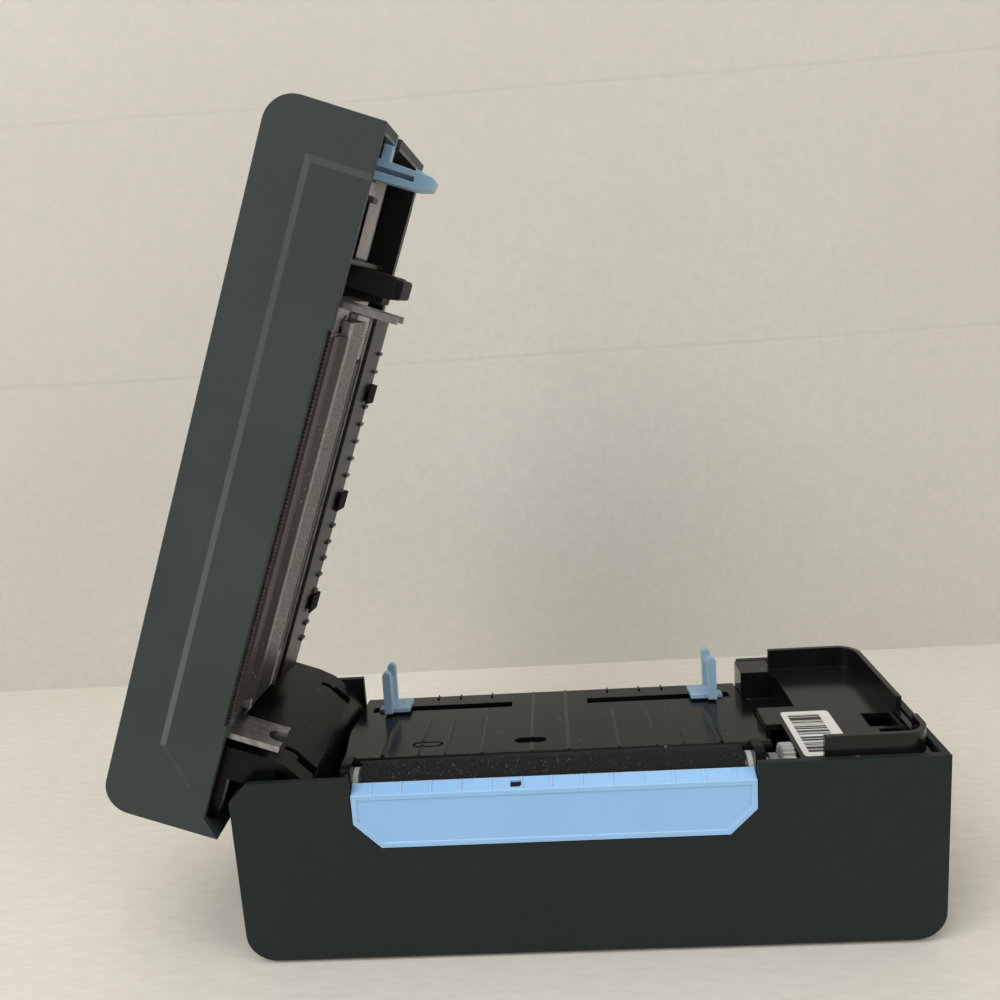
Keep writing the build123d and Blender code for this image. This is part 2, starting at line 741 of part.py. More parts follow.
# Label guides, drawn with the deck's top face as their ground plane and the slot's line as X
# The left guide is drawn here, and the right one is the same moulding turned round.
deck_plane = Plane(
    origin=(lane_x, guide_y, deck_z(guide_y)),
    x_dir=(1, 0, 0),
    z_dir=(0, sin(radians(deck_angle)), cos(radians(deck_angle))),
)
deck_place = deck_plane.location
guide_half_length = 7.2
guide_post_width = 2.8
guide_post_depth = 3.2
guide_web = 1.3
guide_foot_thickness = 1.4
guide_foot_reach = 8.6
guide_foot_half = 5.6
guide_stem_half = 4.0
guide_lift = 0.75
stem_half_width = slot_half_width - 0.35
rack_drop = deck_thickness + 0.4
rack_depth = 2.6
pitch_radius = rack_teeth * rack_module / 2
rack_pitch = pi * rack_module
rack_back = 3.2
rack_play = 0.15


def draw_guide():
    """One label guide at the lane's left: two round-topped posts, a web and a foot over the slot."""
    outer = -guide_offset - guide_post_width / 2
    inner = outer + guide_post_width
    block((outer, inner + guide_foot_reach - guide_post_width), (-guide_foot_half, guide_foot_half),
          (guide_lift, guide_lift + guide_foot_thickness))
    block((outer, inner), (-guide_half_length, guide_half_length),
          (guide_lift, guide_lift + guide_foot_thickness))
    for end in (-1, 1):
        y = end * (guide_half_length - guide_post_depth / 2)
        block((outer, inner), (y - guide_post_depth / 2, y + guide_post_depth / 2),
              (guide_lift, guide_height - guide_post_width / 2))
        rod_y(-guide_offset, (y - guide_post_depth / 2, y + guide_post_depth / 2),
              guide_height - guide_post_width / 2, guide_post_width / 2)
    block((-guide_offset - guide_web / 2, -guide_offset + guide_web / 2),
          (-guide_half_length, guide_half_length), (guide_lift, guide_height - 4.0))
    block((-guide_offset - guide_stem_half, -guide_offset + guide_stem_half),
          (-stem_half_width, stem_half_width), (-rack_drop, guide_lift + 0.2))
    rod_z(inner + guide_foot_reach - guide_post_width - 3.0, 0.8,
          (guide_lift, guide_lift + guide_foot_thickness), 0.55, Mode.SUBTRACT)


def draw_rack():
    """The rack of the left guide: a bar behind the pinion with its teeth towards it."""
    teeth_line = pitch_radius + rack_play
    start = -guide_offset - guide_stem_half
    block((start, rack_pitch), (teeth_line + 1.25, teeth_line + 1.25 + rack_back),
          (-rack_drop - rack_depth, -rack_drop))
    block((start, start + 2 * guide_stem_half), (-stem_half_width, teeth_line + 2.0),
          (-rack_drop - rack_depth, -rack_drop))
    count = int((guide_travel + rack_pitch) / rack_pitch) + 1
    with BuildSketch(Plane.XY.offset(-rack_drop - rack_depth)) as teeth:
        for i in range(count):
            with Locations((-i * rack_pitch + rack_pitch / 2, teeth_line)):
                Polygon((-1.2, 1.4), (-0.72, 0), (-0.35, -0.9), (0.35, -0.9), (0.72, 0), (1.2, 1.4),
                        align=None)
    extrude(teeth.sketch, amount=rack_depth)


with BuildPart() as label_guide_left:
    draw_guide()
with BuildPart() as guide_rack_left:
    draw_rack()
with BuildPart() as guide_pinion:
    with BuildSketch(Plane.XY.offset(-rack_drop - rack_depth)):
        draw_gear(rack_teeth, rack_module, 90)
        Circle(1.5 + shaft_running_gap, mode=Mode.SUBTRACT)
    extrude(amount=rack_depth)
with BuildPart() as pinion_stud:
    rod_z(0, 0, (-rack_drop - rack_depth - 0.3, -deck_thickness), 1.5)
    rod_z(0, 0, (-rack_drop - rack_depth - 1.5, -rack_drop - rack_depth - 0.3), 3.0)

# Sensor under the deck
with BuildPart() as gap_sensor:
    sensor_top = deck_z(sensor_y) - deck_thickness + 0.2
    sensor_low = deck_z(sensor_y) - deck_thickness - 2.6
    with BuildSketch(Plane.XY.offset(sensor_low)):
        with Locations((lane_x + sensor_offset, sensor_y)):
            SlotOverall(sensor_length - 0.4, sensor_width - 0.4)
    extrude(amount=sensor_top - sensor_low)
    block((lane_x + sensor_offset - 11, lane_x + sensor_offset + 11), (sensor_y - 6, sensor_y + 6),
          (sensor_low - board_thickness, sensor_low))

# Main board and what is soldered to it
with BuildPart() as main_board:
    block((lane_x - board_half_width, lane_x + board_half_width), (board_front, board_back),
          (main_board_height, board_top))
    for x, y in standoffs:
        rod_z(x, y, (main_board_height, board_top), screw_radius + 0.3, Mode.SUBTRACT)

with BuildPart() as board_screws:
    for x, y in standoffs:
        rod_z(x, y, (board_top, board_top + 1.6), screw_head_radius)
        rod_z(x, y, (floor_top + 1.0, board_top), screw_radius - 0.05)

with BuildPart() as board_parts:
    block((lane_x - 8, lane_x + 6), (front + 34, front + 48), (board_top, board_top + 1.6))
    block((lane_x - 28, lane_x - 20), (front + 36, front + 41), (board_top, board_top + 1.6))
    block((lane_x + 16, lane_x + 28), (front + 36, front + 44), (board_top, board_top + 3.0))
    rod_z(lane_x + 18, front + 55, (board_top, board_top + 12.0), 4.0)
    rod_z(lane_x + 28, front + 55, (board_top, board_top + 12.0), 4.0)
    block((lane_x - 38, lane_x - 14), (front + 47, front + 52), (board_top, board_top + 6.0))

with BuildPart() as usb_socket:
    x = (usb_x - usb_width / 2, usb_x + usb_width / 2)
    block(x, (back - 16.4, back - 0.2), (board_top, board_top + usb_height))
    block((x[0] + 0.7, x[1] - 0.7), (back - 12.0, back), (board_top + 0.7, board_top + usb_height - 0.7),
          Mode.SUBTRACT)
    block((usb_x - 2.9, usb_x + 2.9), (back - 12.4, back - 4.6), (board_top + 3.9, board_top + 7.1))

with BuildPart() as power_socket:
    z = board_top + 6.5
    block((jack_x - jack_width / 2, jack_x + jack_width / 2), (back - 14.0, back - 0.2),
          (board_top, board_top + jack_height))
    rod_y(jack_x, (back - 9.5, back), z, 2.85, Mode.SUBTRACT)
    rod_y(jack_x, (back - 10.0, back - 1.2), z, 1.0)

# Rocker switch in the rear wall
rocker_radius = 9.0
rocker_body_depth = 12.0
rocker_axis_y = back - 2.6
rocker_half = 7.6
with BuildPart() as switch_body:
    x = (rocker_x - rocker_width / 2, rocker_x + rocker_width / 2)
    z = (rocker_z - rocker_height / 2, rocker_z + rocker_height / 2)
    block(x, (back - rocker_body_depth, back), z)
    block((x[0] - 1.0, x[1] + 1.0), (back, back + 1.0), (z[0] - 1.0, z[1] + 1.0))
    block((x[0] + 1.6, x[1] - 1.6), (back - 8.0, back + 1.0),
          (rocker_z - rocker_half - 0.8, rocker_z + rocker_half + 0.8), Mode.SUBTRACT)
    rod_x((x[0] + 0.8, x[1] - 0.8), rocker_axis_y, rocker_z, 0.9, Mode.SUBTRACT)

with BuildPart() as power_rocker:
    with BuildSketch(cross_plane(rocker_x - rocker_width / 2 + 2.0)):
        Polygon(
            (rocker_axis_y + 0.2, rocker_z - rocker_half),
            (rocker_axis_y + 3.0, rocker_z - rocker_half + 0.6),
            (rocker_axis_y + 2.0, rocker_z),
            (rocker_axis_y + 3.0, rocker_z + rocker_half - 0.6),
            (rocker_axis_y + 0.2, rocker_z + rocker_half),
            (rocker_axis_y - 2.0, rocker_z),
            align=None,
        )
    extrude(amount=rocker_width - 4.0)
    rod_x((rocker_x - rocker_width / 2 + 0.9, rocker_x + rocker_width / 2 - 0.9), rocker_axis_y, rocker_z,
          0.82)

# Hinge pins, pressed into the base's bosses
pin_length = wall / 2 + hinge_boss_length + arm_thickness + 0.8
with BuildPart() as hinge_pins:
    rod_y(hinge_x, (front + wall / 2, front + wall / 2 + pin_length), hinge_height, hinge_pin_radius)
    rod_y(hinge_x, (back - wall / 2 - pin_length, back - wall / 2), hinge_height, hinge_pin_radius)

# From here on the lid is drawn shut, and turned open about the hinge when it is written.

# Lid shell
plateau_rise = 0.6
plateau_band = 1.8
plateau_right = right - 13.0
plateau_left = left + 13.2
plateau_top = lid_top - 12.6
plateau_corner_x = left + 24.0
plateau_corner_z = lid_top - 23.5
button_x = right - 25.0
button_radius = 6.0
light_y = 11.0
light_radius = 1.6
latch_pivot_x = right - 9.6
latch_pivot_z = 68.0
ear_thickness = 1.8
latch_tab_z = lid_rim + 1.0
latch_tab_thickness = 2.6
tab_notch_y = (latch_tab_y[0] - 3.0, latch_tab_y[1] + 0.4)
tab_notch_z = (lid_rim, latch_tab_z + latch_tab_thickness + 0.7)
latch_rib_x = (right - 18.5, right - 17.0)
latch_rib_y = (latch_front + 0.2, latch_back - 0.2)
lid_bosses = [(x, y) for x in (left + 21.0, side_left - 10.2) for y in (front + 13.5, back - 13.5)]
board_boss_offset = 12.0
control_board_height = lid_top - 12.0
control_board_y = (latch_back + 1.0, latch_back + 28.0)
exit_notch = 1.1
exit_notch_half = bezel_half_width


def plateau_outline(shrink):
    """Corners of the raised field on the lid's long sides, drawn in by the width of its band."""
    return [
        (plateau_right - shrink, lid_rim),
        (plateau_right - shrink, plateau_top - shrink),
        (plateau_corner_x + 0.4 * shrink, plateau_top - shrink),
        (plateau_left + shrink, plateau_corner_z - 0.4 * shrink),
        (plateau_left + shrink, lid_rim),
    ]


with BuildPart() as lid_shell:
    with BuildSketch(face_plane(front)) as lid_outline:
        Polygon(
            (right, lid_rim),
            (right, lid_top),
            (left, lid_top),
            (left, rim_height - corner_cut + sqrt(2) * seam),
            (left + corner_cut - (sqrt(2) - 1) * seam, lid_rim),
            align=None,
        )
        fillet(lid_outline.vertices().group_by(Axis.Y)[-1], top_radius)
    extrude(amount=-body_depth)
    with BuildSketch(face_plane(front + wall)) as lid_cavity:
        Polygon(
            (right - wall, foot_height),
            (right - wall, lid_top - wall),
            (left + wall, lid_top - wall),
            (left + wall, foot_height),
            align=None,
        )
        fillet(lid_cavity.vertices().group_by(Axis.Y)[-1], top_radius - wall)
    extrude(amount=-(body_depth - 2 * wall), mode=Mode.SUBTRACT)
    # Raised field on both long sides.
    for y, way in ((front, -1), (back, 1)):
        with BuildSketch(face_plane(y)):
            Polygon(*plateau_outline(0), align=None)
        with BuildSketch(face_plane(y + way * plateau_rise)):
            Polygon(*plateau_outline(plateau_band), align=None)
        loft(ruled=True)
    # Bosses for the inner frame.
    for x, y in lid_bosses:
        rod_z(x, y, (lid_plate_height + lid_plate_thickness, lid_top - wall / 2), 3.6)
        rod_z(x, y, (lid_plate_height + lid_plate_thickness, lid_plate_height + 10.0),
              screw_radius + 0.05, Mode.SUBTRACT)
    # Ears for the latch pin.
    for y in ((latch_front - slack - ear_thickness, latch_front - slack),
              (latch_back + slack, latch_back + slack + ear_thickness)):
        block((latch_pivot_x - 3.4, latch_pivot_x + 3.4), y, (latch_pivot_z - 3.4, lid_top - wall / 2))
        rod_y(latch_pivot_x, y, latch_pivot_z, hinge_pin_radius, Mode.SUBTRACT)
    # Rib that backs the latch's spring.
    block(latch_rib_x, latch_rib_y, (61.6, lid_top - wall / 2))
    # Notch in the end wall for the latch's thumb tab.
    block((right - wall, right), tab_notch_y, tab_notch_z, Mode.SUBTRACT)
    # Shallow notch over the exit, where the tear bar shows.
    block((lane_x - exit_notch_half, lane_x + exit_notch_half), (front - plateau_rise, front + wall),
          (lid_rim, lid_rim + exit_notch), Mode.SUBTRACT)
    # Feed button and its light in the top.
    rod_z(button_x, 0, (lid_top - wall, lid_top), button_radius + slack, Mode.SUBTRACT)
    rod_z(button_x, light_y, (lid_top - wall, lid_top), light_radius, Mode.SUBTRACT)
    for y in (control_board_y[0] + 3.2, control_board_y[1] - 4.0):
        rod_z(button_x - board_boss_offset, y,
              (control_board_height + board_thickness, lid_top - wall / 2), 2.6)
    rod_z(button_x + 7, control_board_y[1] - 3.0,
          (control_board_height + board_thickness, lid_top - wall / 2), 2.6)

# Frame inside the lid: a plate, an apron behind the front wall, a liner and the label hold-down box
frame_left = left + 14.0
frame_right = side_left + 9.8
hold_front = front + 44.0
hold_back = front + 59.0
hold_half_width = deck_half_width - 5.4
hold_gap = 2.1
hold_wall = 1.4
hold_rib_count = 18
hold_rib_pitch = 5.9
liner_bottom = lid_rim
liner_top = lid_rim + 9.2
liner_thickness = 1.2
end_liner_thickness = 0.8
end_liner_top = lid_plate_height + 1.0
strip_length = 26.0
strip_height = 4.2
apron_y = front + wall + 1.0
plate_z = (lid_plate_height, lid_plate_height + lid_plate_thickness)
hold_x = (lane_x - hold_half_width, lane_x + hold_half_width)
head_screw_offset = platen_half_length + 2.7
head_screw_x = (lane_x - head_screw_offset, lane_x + head_screw_offset)
head_screw_y = front + 20.5
head_screw_radius = 2.5
head_screw_head = (head_plate_height - 1.7, head_plate_height - 0.2)

with BuildPart() as lid_frame:
    block((frame_left, frame_right), (front + wall + slack, back - wall - slack), plate_z)
    block((left + 28.0, frame_right - 8.0), (apron_y, apron_y + 1.2), (lid_rim + 3.2, lid_plate_height))
    block((frame_right - hold_wall, frame_right), (front + wall + slack, back - wall - slack),
          (lid_rim + 4.0, lid_plate_height))
    liner_y = (back - wall - slack - liner_thickness, back - wall - slack)
    block((left + 30.0, right - wall), liner_y, (liner_bottom, liner_top))
    block((left + 30.0, frame_right), liner_y, (liner_bottom, lid_plate_height))
    # Liner of the end wall, open where the latch's tab passes.
    block((right - wall - end_liner_thickness, right - wall), (front + wall + slack, liner_y[1]),
          (liner_bottom, end_liner_top))
    block((right - wall - end_liner_thickness, right - wall), tab_notch_y, tab_notch_z, Mode.SUBTRACT)
    # Hold-down box over the lane.
    with BuildSketch(cross_plane(hold_x[0])) as hold_outline:
        Polygon(
            (hold_front, deck_z(hold_front) + hold_gap),
            (hold_back, deck_z(hold_back) + hold_gap),
            (hold_back, lid_plate_height),
            (hold_front, lid_plate_height),
            align=None,
        )
    extrude(amount=2 * hold_half_width)
    with BuildSketch(cross_plane(hold_x[0] + hold_wall)) as hold_cavity:
        Polygon(
            (hold_front + hold_wall, deck_z(hold_front) + hold_gap + hold_wall),
            (hold_back - hold_wall, deck_z(hold_back) + hold_gap + hold_wall),
            (hold_back - hold_wall, lid_plate_height + lid_plate_thickness),
            (hold_front + hold_wall, lid_plate_height + lid_plate_thickness),
            align=None,
        )
    extrude(amount=2 * (hold_half_width - hold_wall), mode=Mode.SUBTRACT)
    for i in range(hold_rib_count):
        x = lane_x + (i - (hold_rib_count - 1) / 2) * hold_rib_pitch
        slope_bar((x - 0.5, x + 0.5), (hold_back - 3.6, hold_back), (hold_gap - 0.7, hold_gap + 0.3))
    # Pilot bores of the screws that hold the frame, and of the two that carry the print head.
    for x, y in lid_bosses:
        rod_z(x, y, plate_z, screw_radius + 0.3, Mode.SUBTRACT)
    for x in head_screw_x:
        rod_z(x, head_screw_y, plate_z, screw_radius, Mode.SUBTRACT)

with BuildPart() as lid_screws:
    for x, y in lid_bosses:
        rod_z(x, y, (lid_plate_height - screw_head_height, lid_plate_height), screw_head_radius)
        rod_z(x, y, (lid_plate_height, lid_plate_height + 9.0), screw_radius)
        with Locations((x, y, lid_plate_height - screw_head_height)):
            Cylinder(1.1, 1.6, mode=Mode.SUBTRACT)

# Pale strip on the inside of the rear wall, above the liner
with BuildPart() as liner_strip:
    block((frame_right + slack, frame_right + slack + strip_length), (liner_y[1] - 0.8, liner_y[1]),
          (liner_top, liner_top + strip_height))

# Three pads that press the label on the deck
pad_offsets = (-36.8, 0.0, 36.8)
pad_half = 2.95
pad_depth = 2.6
pad_gap = 0.9
with BuildPart() as hold_down_pads:
    for aside in pad_offsets:
        x = (lane_x + aside - pad_half, lane_x + aside + pad_half)
        slope_bar(x, (hold_back, hold_back + pad_depth), (pad_gap, 8.0))
        slope_bar(x, (hold_back - 5.0, hold_back + pad_depth), (pad_gap, hold_gap - 0.7))

# Tear bar with its row of teeth
tooth_pitch = 1.2
tooth_height = 1.0
tear_y = (front + wall + slack + 0.1, apron_y)
tear_half = platen_half_length + 2.9
tooth_count = int(2 * tear_half / tooth_pitch)
with BuildPart() as tear_bar:
    with BuildSketch(face_plane(tear_y[0])) as tear_outline:
        with BuildLine():
            start = lane_x - tooth_count * tooth_pitch / 2
            end = lane_x + tooth_count * tooth_pitch / 2
            points = [(end, lid_rim + 8.0), (start, lid_rim + 8.0)]
            for i in range(tooth_count):
                points.append((start + i * tooth_pitch, lid_rim + tooth_height))
                points.append((start + (i + 0.5) * tooth_pitch, lid_rim + 0.1))
            points.append((end, lid_rim + tooth_height))
            Polyline(*points, close=True)
        make_face()
    extrude(amount=-(tear_y[1] - tear_y[0]))

# Block that enters the recess of the side deck when the lid is shut
block_x = (side_left + 1.4, recess_right - 3.6)
block_y = (recess_front + 2.0, recess_back - 2.4)
block_bottom = recess_floor + 0.9
block_nose = 2.2
with BuildPart() as locating_block:
    block(block_x, block_y, (block_bottom + block_nose, lid_plate_height))
    chamfer(locating_block.edges().group_by(Axis.Z)[0], 0.5)
    block((block_x[0] + 0.4, block_x[1] - 0.4), (block_y[0] + 0.4, block_y[1] - 0.4),
          (block_bottom, block_bottom + block_nose + 1.0))
    fillet(locating_block.edges().filter_by(Axis.Y).group_by(Axis.Z)[0], 1.0)
    block((block_x[0] + 1.4, block_x[1] - 1.4), (block_y[0] + 1.4, block_y[1] - 1.4),
          (block_bottom + 4.0, lid_plate_height), Mode.SUBTRACT)
    block((block_x[0] - 2.4, block_x[0]), (block_y[0] + 2.0, block_y[1] - 4.0),
          (deck_z(block_y[0]) + 2.0, lid_plate_height))

# Hinge guard: the bent shield that closes the end bay, with an arm and a pivot eye at each end
guard_y = (front + wall + hinge_boss_length + slack, back - wall - hinge_boss_length - slack)
flat_top = lid_plate_height - hinge_height
guard_bends = [(1.0, 0.11), (0.96, -0.18), (0.78, -0.55), (0.45, -0.88)]
arm_half = 2.8
arm_shoulder = (10.4, 6.9)
arm_web_low = 12.0
slot_inset = 8.6
slot_width = 2.2
slot_step = 2.2
slot_depth = 8.0
slot_z = (hinge_height - 11.6, hinge_height - 5.4, hinge_height - 0.6)


def hinge_face(y):
    """Upright plane at y with its origin on the hinge axis."""
    return Plane(origin=(hinge_x, y, hinge_height), x_dir=(1, 0, 0), z_dir=(0, -1, 0))


guard_inner = guard_reach - guard_thickness
outer_line = [(guard_reach * u, guard_reach * v) for u, v in guard_bends]
inner_line = [(guard_inner * u, guard_inner * v) for u, v in guard_bends]

with BuildPart() as hinge_guard:
    with BuildSketch(hinge_face(guard_y[0])):
        Polygon(
            (guard_inner, flat_top),
            (guard_reach, flat_top),
            *outer_line,
            *reversed(inner_line),
            align=None,
        )
    extrude(amount=-(guard_y[1] - guard_y[0]))
    for y in (guard_y[0], guard_y[1] - arm_thickness):
        with BuildSketch(hinge_face(y)):
            Polygon(
                (0, hinge_boss_radius),
                arm_shoulder,
                (arm_shoulder[0], arm_web_low),
                (-arm_half, arm_web_low),
                (-arm_half, flat_top),
                (guard_inner, flat_top),
                (guard_inner, -1.0),
                (0, -hinge_boss_radius),
                align=None,
            )
            Circle(hinge_boss_radius)
            Circle(hinge_pin_radius + hinge_running_gap, mode=Mode.SUBTRACT)
        extrude(amount=-arm_thickness)
    # Stepped slots near both ends of the bent part, the wider half outwards.
    slot_x = (hinge_x + slot_depth, hinge_x + guard_reach + 1.0)
    for y, way in ((guard_y[0] + slot_inset, -1), (guard_y[1] - slot_inset, 1)):
        near = y - way * slot_width
        far = y + way * slot_step
        block(slot_x, sorted((near, y)), (slot_z[0], slot_z[2]), Mode.SUBTRACT)
        block(slot_x, sorted((near, far)), (slot_z[0], slot_z[1]), Mode.SUBTRACT)

# Print head: a cast bracket with a forked tab at each end
head_left = lane_x - tab_inner[-1]
head_right = lane_x + tab_inner[1]
head_front = front + 5.2
head_mid = front + 26.0
head_back = front + 42.4
head_reach = platen_half_length + 4.1
fork_half = ring_radius + slack
notch_half = stud_radius + 2 * slack
tab_half = 6.5
ceramic_half = platen_half_length
ceramic_flat = front + 13.5
ceramic_back = front + 16.4
ceramic_drop = 1.55
end_plate_inner = ceramic_half + 0.6
end_plate_bottom = cheek_top + 0.4
rear_flange = 0.8
rear_flange_bottom = head_face - 2.75
head_spring_x = (lane_x - 30.0, lane_x + 30.0)
head_spring_y = front + 14.0
spring_radius = 3.4

with BuildPart() as head_bracket:
    block((head_left, head_right), (head_front, head_back), (head_plate_height, head_top))
    block((lane_x - end_plate_inner, lane_x + end_plate_inner), (head_front, head_mid),
          (head_face + ceramic_thickness, head_plate_height))
    block((head_left, head_right), (head_back - rear_flange, head_back), (rear_flange_bottom, head_top))
    for side in (-1, 1):
        inner = lane_x + side * end_plate_inner
        outer = lane_x + side * tab_inner[side]
        block(sorted((inner, outer)), (head_front, head_mid), (end_plate_bottom, head_plate_height))
        x = sorted((outer, outer + side * tab_thickness))
        block(x, (platen_y - tab_half, platen_y + tab_half), (tab_bottom, head_top))
        block(x, (platen_y - tab_half, head_back), (head_face, head_top))
    # Round-ended notches: a short one at the left, a deep one over the ring at the right.
    for side, half, z in ((-1, notch_half, platen_height - stud_drop), (1, fork_half, platen_height)):
        outer = lane_x + side * tab_inner[side]
        x = sorted((outer, outer + side * tab_thickness))
        block(x, (platen_y - half, platen_y + half), (tab_bottom, z), Mode.SUBTRACT)
        rod_x(x, platen_y, z, half, Mode.SUBTRACT)
    block((head_left, head_right), (head_mid - 2.0, head_mid), (head_top, head_top + 4.0))
    for x in head_screw_x:
        rod_z(x, head_screw_y, (head_face, head_plate_height), head_screw_radius + slack, Mode.SUBTRACT)
        rod_z(x, head_screw_y, (end_plate_bottom, head_top), screw_radius + slack, Mode.SUBTRACT)

with BuildPart() as head_ceramic:
    with BuildSketch(cross_plane(lane_x - ceramic_half)):
        Polygon(
            (head_front + 0.4, head_face),
            (ceramic_flat, head_face),
            (ceramic_back, head_face - ceramic_drop),
            (ceramic_back, head_face + ceramic_thickness),
            (head_front + 0.4, head_face + ceramic_thickness),
            align=None,
        )
    extrude(amount=2 * ceramic_half)

# Bright strip that covers the edge of the head's circuit
strip_y = (ceramic_back + 0.5, ceramic_back + 3.8)
strip_face = head_face - 1.65
screw_head_room = (head_screw_head[0] - head_float - slack, head_plate_height)
with BuildPart() as head_strip:
    block((lane_x - head_reach, lane_x + head_reach), strip_y, (strip_face, head_face + ceramic_thickness))
    fillet(head_strip.edges().filter_by(Axis.X).group_by(Axis.Z)[0], 0.6)
    for x in head_screw_x:
        rod_z(x, head_screw_y, screw_head_room, head_screw_radius + slack, Mode.SUBTRACT)

cover_front = strip_y[1] + 0.2
cover_flat = front + 33.2
cover_back = front + 35.6
cover_low = head_face - 2.2
board_half = head_reach + 1.9
board_y = (head_mid + 0.3, head_back - rear_flange - 0.1)
board_lip_y = (cover_back + 0.4, cover_back + 3.6)
board_lip_z = (cover_low - 0.1, cover_low + 0.6)
head_board_z = (head_plate_height - board_thickness, head_plate_height)
with BuildPart() as head_cover:
    with BuildSketch(cross_plane(lane_x - head_reach)):
        Polygon(
            (cover_front, head_face + ceramic_thickness),
            (cover_front, strip_face + 0.4),
            (cover_flat, cover_low),
            (cover_back, cover_low),
            (cover_back, head_board_z[0]),
            (head_mid + 0.3, head_board_z[0]),
            (head_mid + 0.3, head_face + ceramic_thickness),
            align=None,
        )
    extrude(amount=2 * head_reach)
    for x in head_screw_x:
        rod_z(x, head_screw_y, screw_head_room, head_screw_radius + slack, Mode.SUBTRACT)

connector_length = 13.0
connector_height = 3.1
connector_centre = head_reach - 5.2
connector_y = (front + 37.2, front + 41.3)
connector_face = head_board_z[0] - connector_height
lip_half = connector_centre - connector_length / 2 - 0.8
with BuildPart() as head_board:
    block((lane_x - board_half, lane_x + board_half), board_y, head_board_z)
    # Lip folded down between the two connectors.
    block((lane_x - lip_half, lane_x + lip_half), (board_lip_y[0], board_lip_y[0] + 0.6),
          (board_lip_z[0], head_board_z[0]))
    block((lane_x - lip_half, lane_x + lip_half), board_lip_y, board_lip_z)

with BuildPart() as head_connectors:
    for side in (-1, 1):
        with BuildSketch(Plane.XY.offset(connector_face)):
            with Locations((lane_x + side * connector_centre, sum(connector_y) / 2)):
                SlotOverall(connector_length, connector_y[1] - connector_y[0])
        extrude(amount=connector_height)

pin_count = 12
pin_pitch = 0.95
pin_half_width = 0.225
pin_proud = 0.15
with BuildPart() as connector_pins:
    for side in (-1, 1):
        for i in range(pin_count):
            x = lane_x + side * connector_centre + (i - (pin_count - 1) / 2) * pin_pitch
            inset = 0.3 if 0 < i < pin_count - 1 else 0.7
            block((x - pin_half_width, x + pin_half_width), (connector_y[0] + inset, connector_y[1] - inset),
                  (connector_face - pin_proud, connector_face))

with BuildPart() as head_springs:
    for x in head_spring_x:
        rod_z(x, head_spring_y, (head_top, lid_plate_height - head_float - slack), spring_radius)
        rod_z(x, head_spring_y, (head_top, lid_plate_height), spring_radius - 0.8, Mode.SUBTRACT)

with BuildPart() as head_screws:
    for x in head_screw_x:
        rod_z(x, head_screw_y, head_screw_head, head_screw_radius)
        rod_z(x, head_screw_y, (head_screw_head[1], lid_plate_height + lid_plate_thickness),
              screw_radius)

# Release latch: a blue lever with a thumb tab through the end wall and a nub near its tip
latch_bottom = 46.4
latch_nub_y = (latch_back - 3.0, latch_back - 0.2)
latch_nub_z = (deck_z0 - 4.5, deck_z0 - 1.9)
groove_x = (arm_x[0] + 2.2, arm_x[0] + 3.6)
groove_depth = 2.4
with BuildPart() as release_latch:
    with BuildSketch(face_plane(latch_front)):
        Polygon(
            (arm_x[0], latch_pivot_z),
            (arm_x[0], latch_tab_z + 1.7),
            (arm_x[0] + 0.3, latch_bottom + 4.4),
            (arm_x[0] + 1.4, latch_bottom + 0.3),
            (arm_x[1] - 1.4, latch_bottom),
            (arm_x[1] - 0.6, latch_bottom + 1.2),
            (arm_x[1], latch_tab_z + 1.1),
            (arm_x[1], latch_pivot_z),
            align=None,
        )
    extrude(amount=-(latch_back - latch_front))
    rod_y(latch_pivot_x, (latch_front, latch_back), latch_pivot_z, 3.1)
    block((arm_x[1] - 0.8, right + 0.6), latch_tab_y, (latch_tab_z, latch_tab_z + latch_tab_thickness))
    # Nub that rests behind the edge of the window.
    with BuildSketch(face_plane(latch_nub_y[0])):
        Polygon(
            (arm_x[1] - 1.0, latch_nub_z[0]),
            (arm_x[1] + nub_reach - 0.5, latch_nub_z[0]),
            (arm_x[1] + nub_reach, latch_nub_z[1]),
            (arm_x[1] - 1.0, latch_nub_z[1]),
            align=None,
        )
    extrude(amount=-(latch_nub_y[1] - latch_nub_y[0]))
    # Groove along the arm.
    block(groove_x, (latch_front, latch_front + groove_depth), (latch_bottom + 5.9, latch_tab_z + 4.0),
          Mode.SUBTRACT)
    rod_y(latch_pivot_x, (latch_front, latch_back), latch_pivot_z,
          hinge_pin_radius + hinge_running_gap, Mode.SUBTRACT)

with BuildPart() as latch_pin:
    rod_y(latch_pivot_x, (latch_front - slack - ear_thickness, latch_back + slack + ear_thickness),
          latch_pivot_z, hinge_pin_radius)

latch_spring_z = 64.2
with BuildPart() as latch_spring:
    x = (latch_rib_x[1], arm_x[0] - 0.8)
    rod_x(x, sum(latch_rib_y) / 2, latch_spring_z, 1.8)
    rod_x(x, sum(latch_rib_y) / 2, latch_spring_z, 1.2, Mode.SUBTRACT)

# Feed button, its switch and the small board that carries it
button_travel = 0.8
with BuildPart() as feed_button:
    rod_z(button_x, 0, (lid_top - wall - 1.0, lid_top + 1.0), button_radius)
    fillet(feed_button.edges().filter_by(GeomType.CIRCLE).group_by(Axis.Z)[-1], 0.5)
    rod_z(button_x, 0, (lid_top - wall - 1.6, lid_top - wall - 0.4), button_radius + 0.9)
    rod_z(button_x, 0, (control_board_height + board_thickness + 3.0 + button_travel + slack,
                        lid_top - wall), 1.6)

control_board_reach = 16.0
with BuildPart() as control_board:
    block((button_x - control_board_reach, button_x + 10), control_board_y,
          (control_board_height, control_board_height + board_thickness))

with BuildPart() as feed_switch:
    z = control_board_height + board_thickness
    block((button_x - 3, button_x + 3), (-3, 3), (z, z + 2.2))
    rod_z(button_x, 0, (z + 2.2, z + 3.0), 1.6)

with BuildPart() as status_lens:
    rod_z(button_x, light_y, (control_board_height + board_thickness, lid_top), light_radius - 0.05)

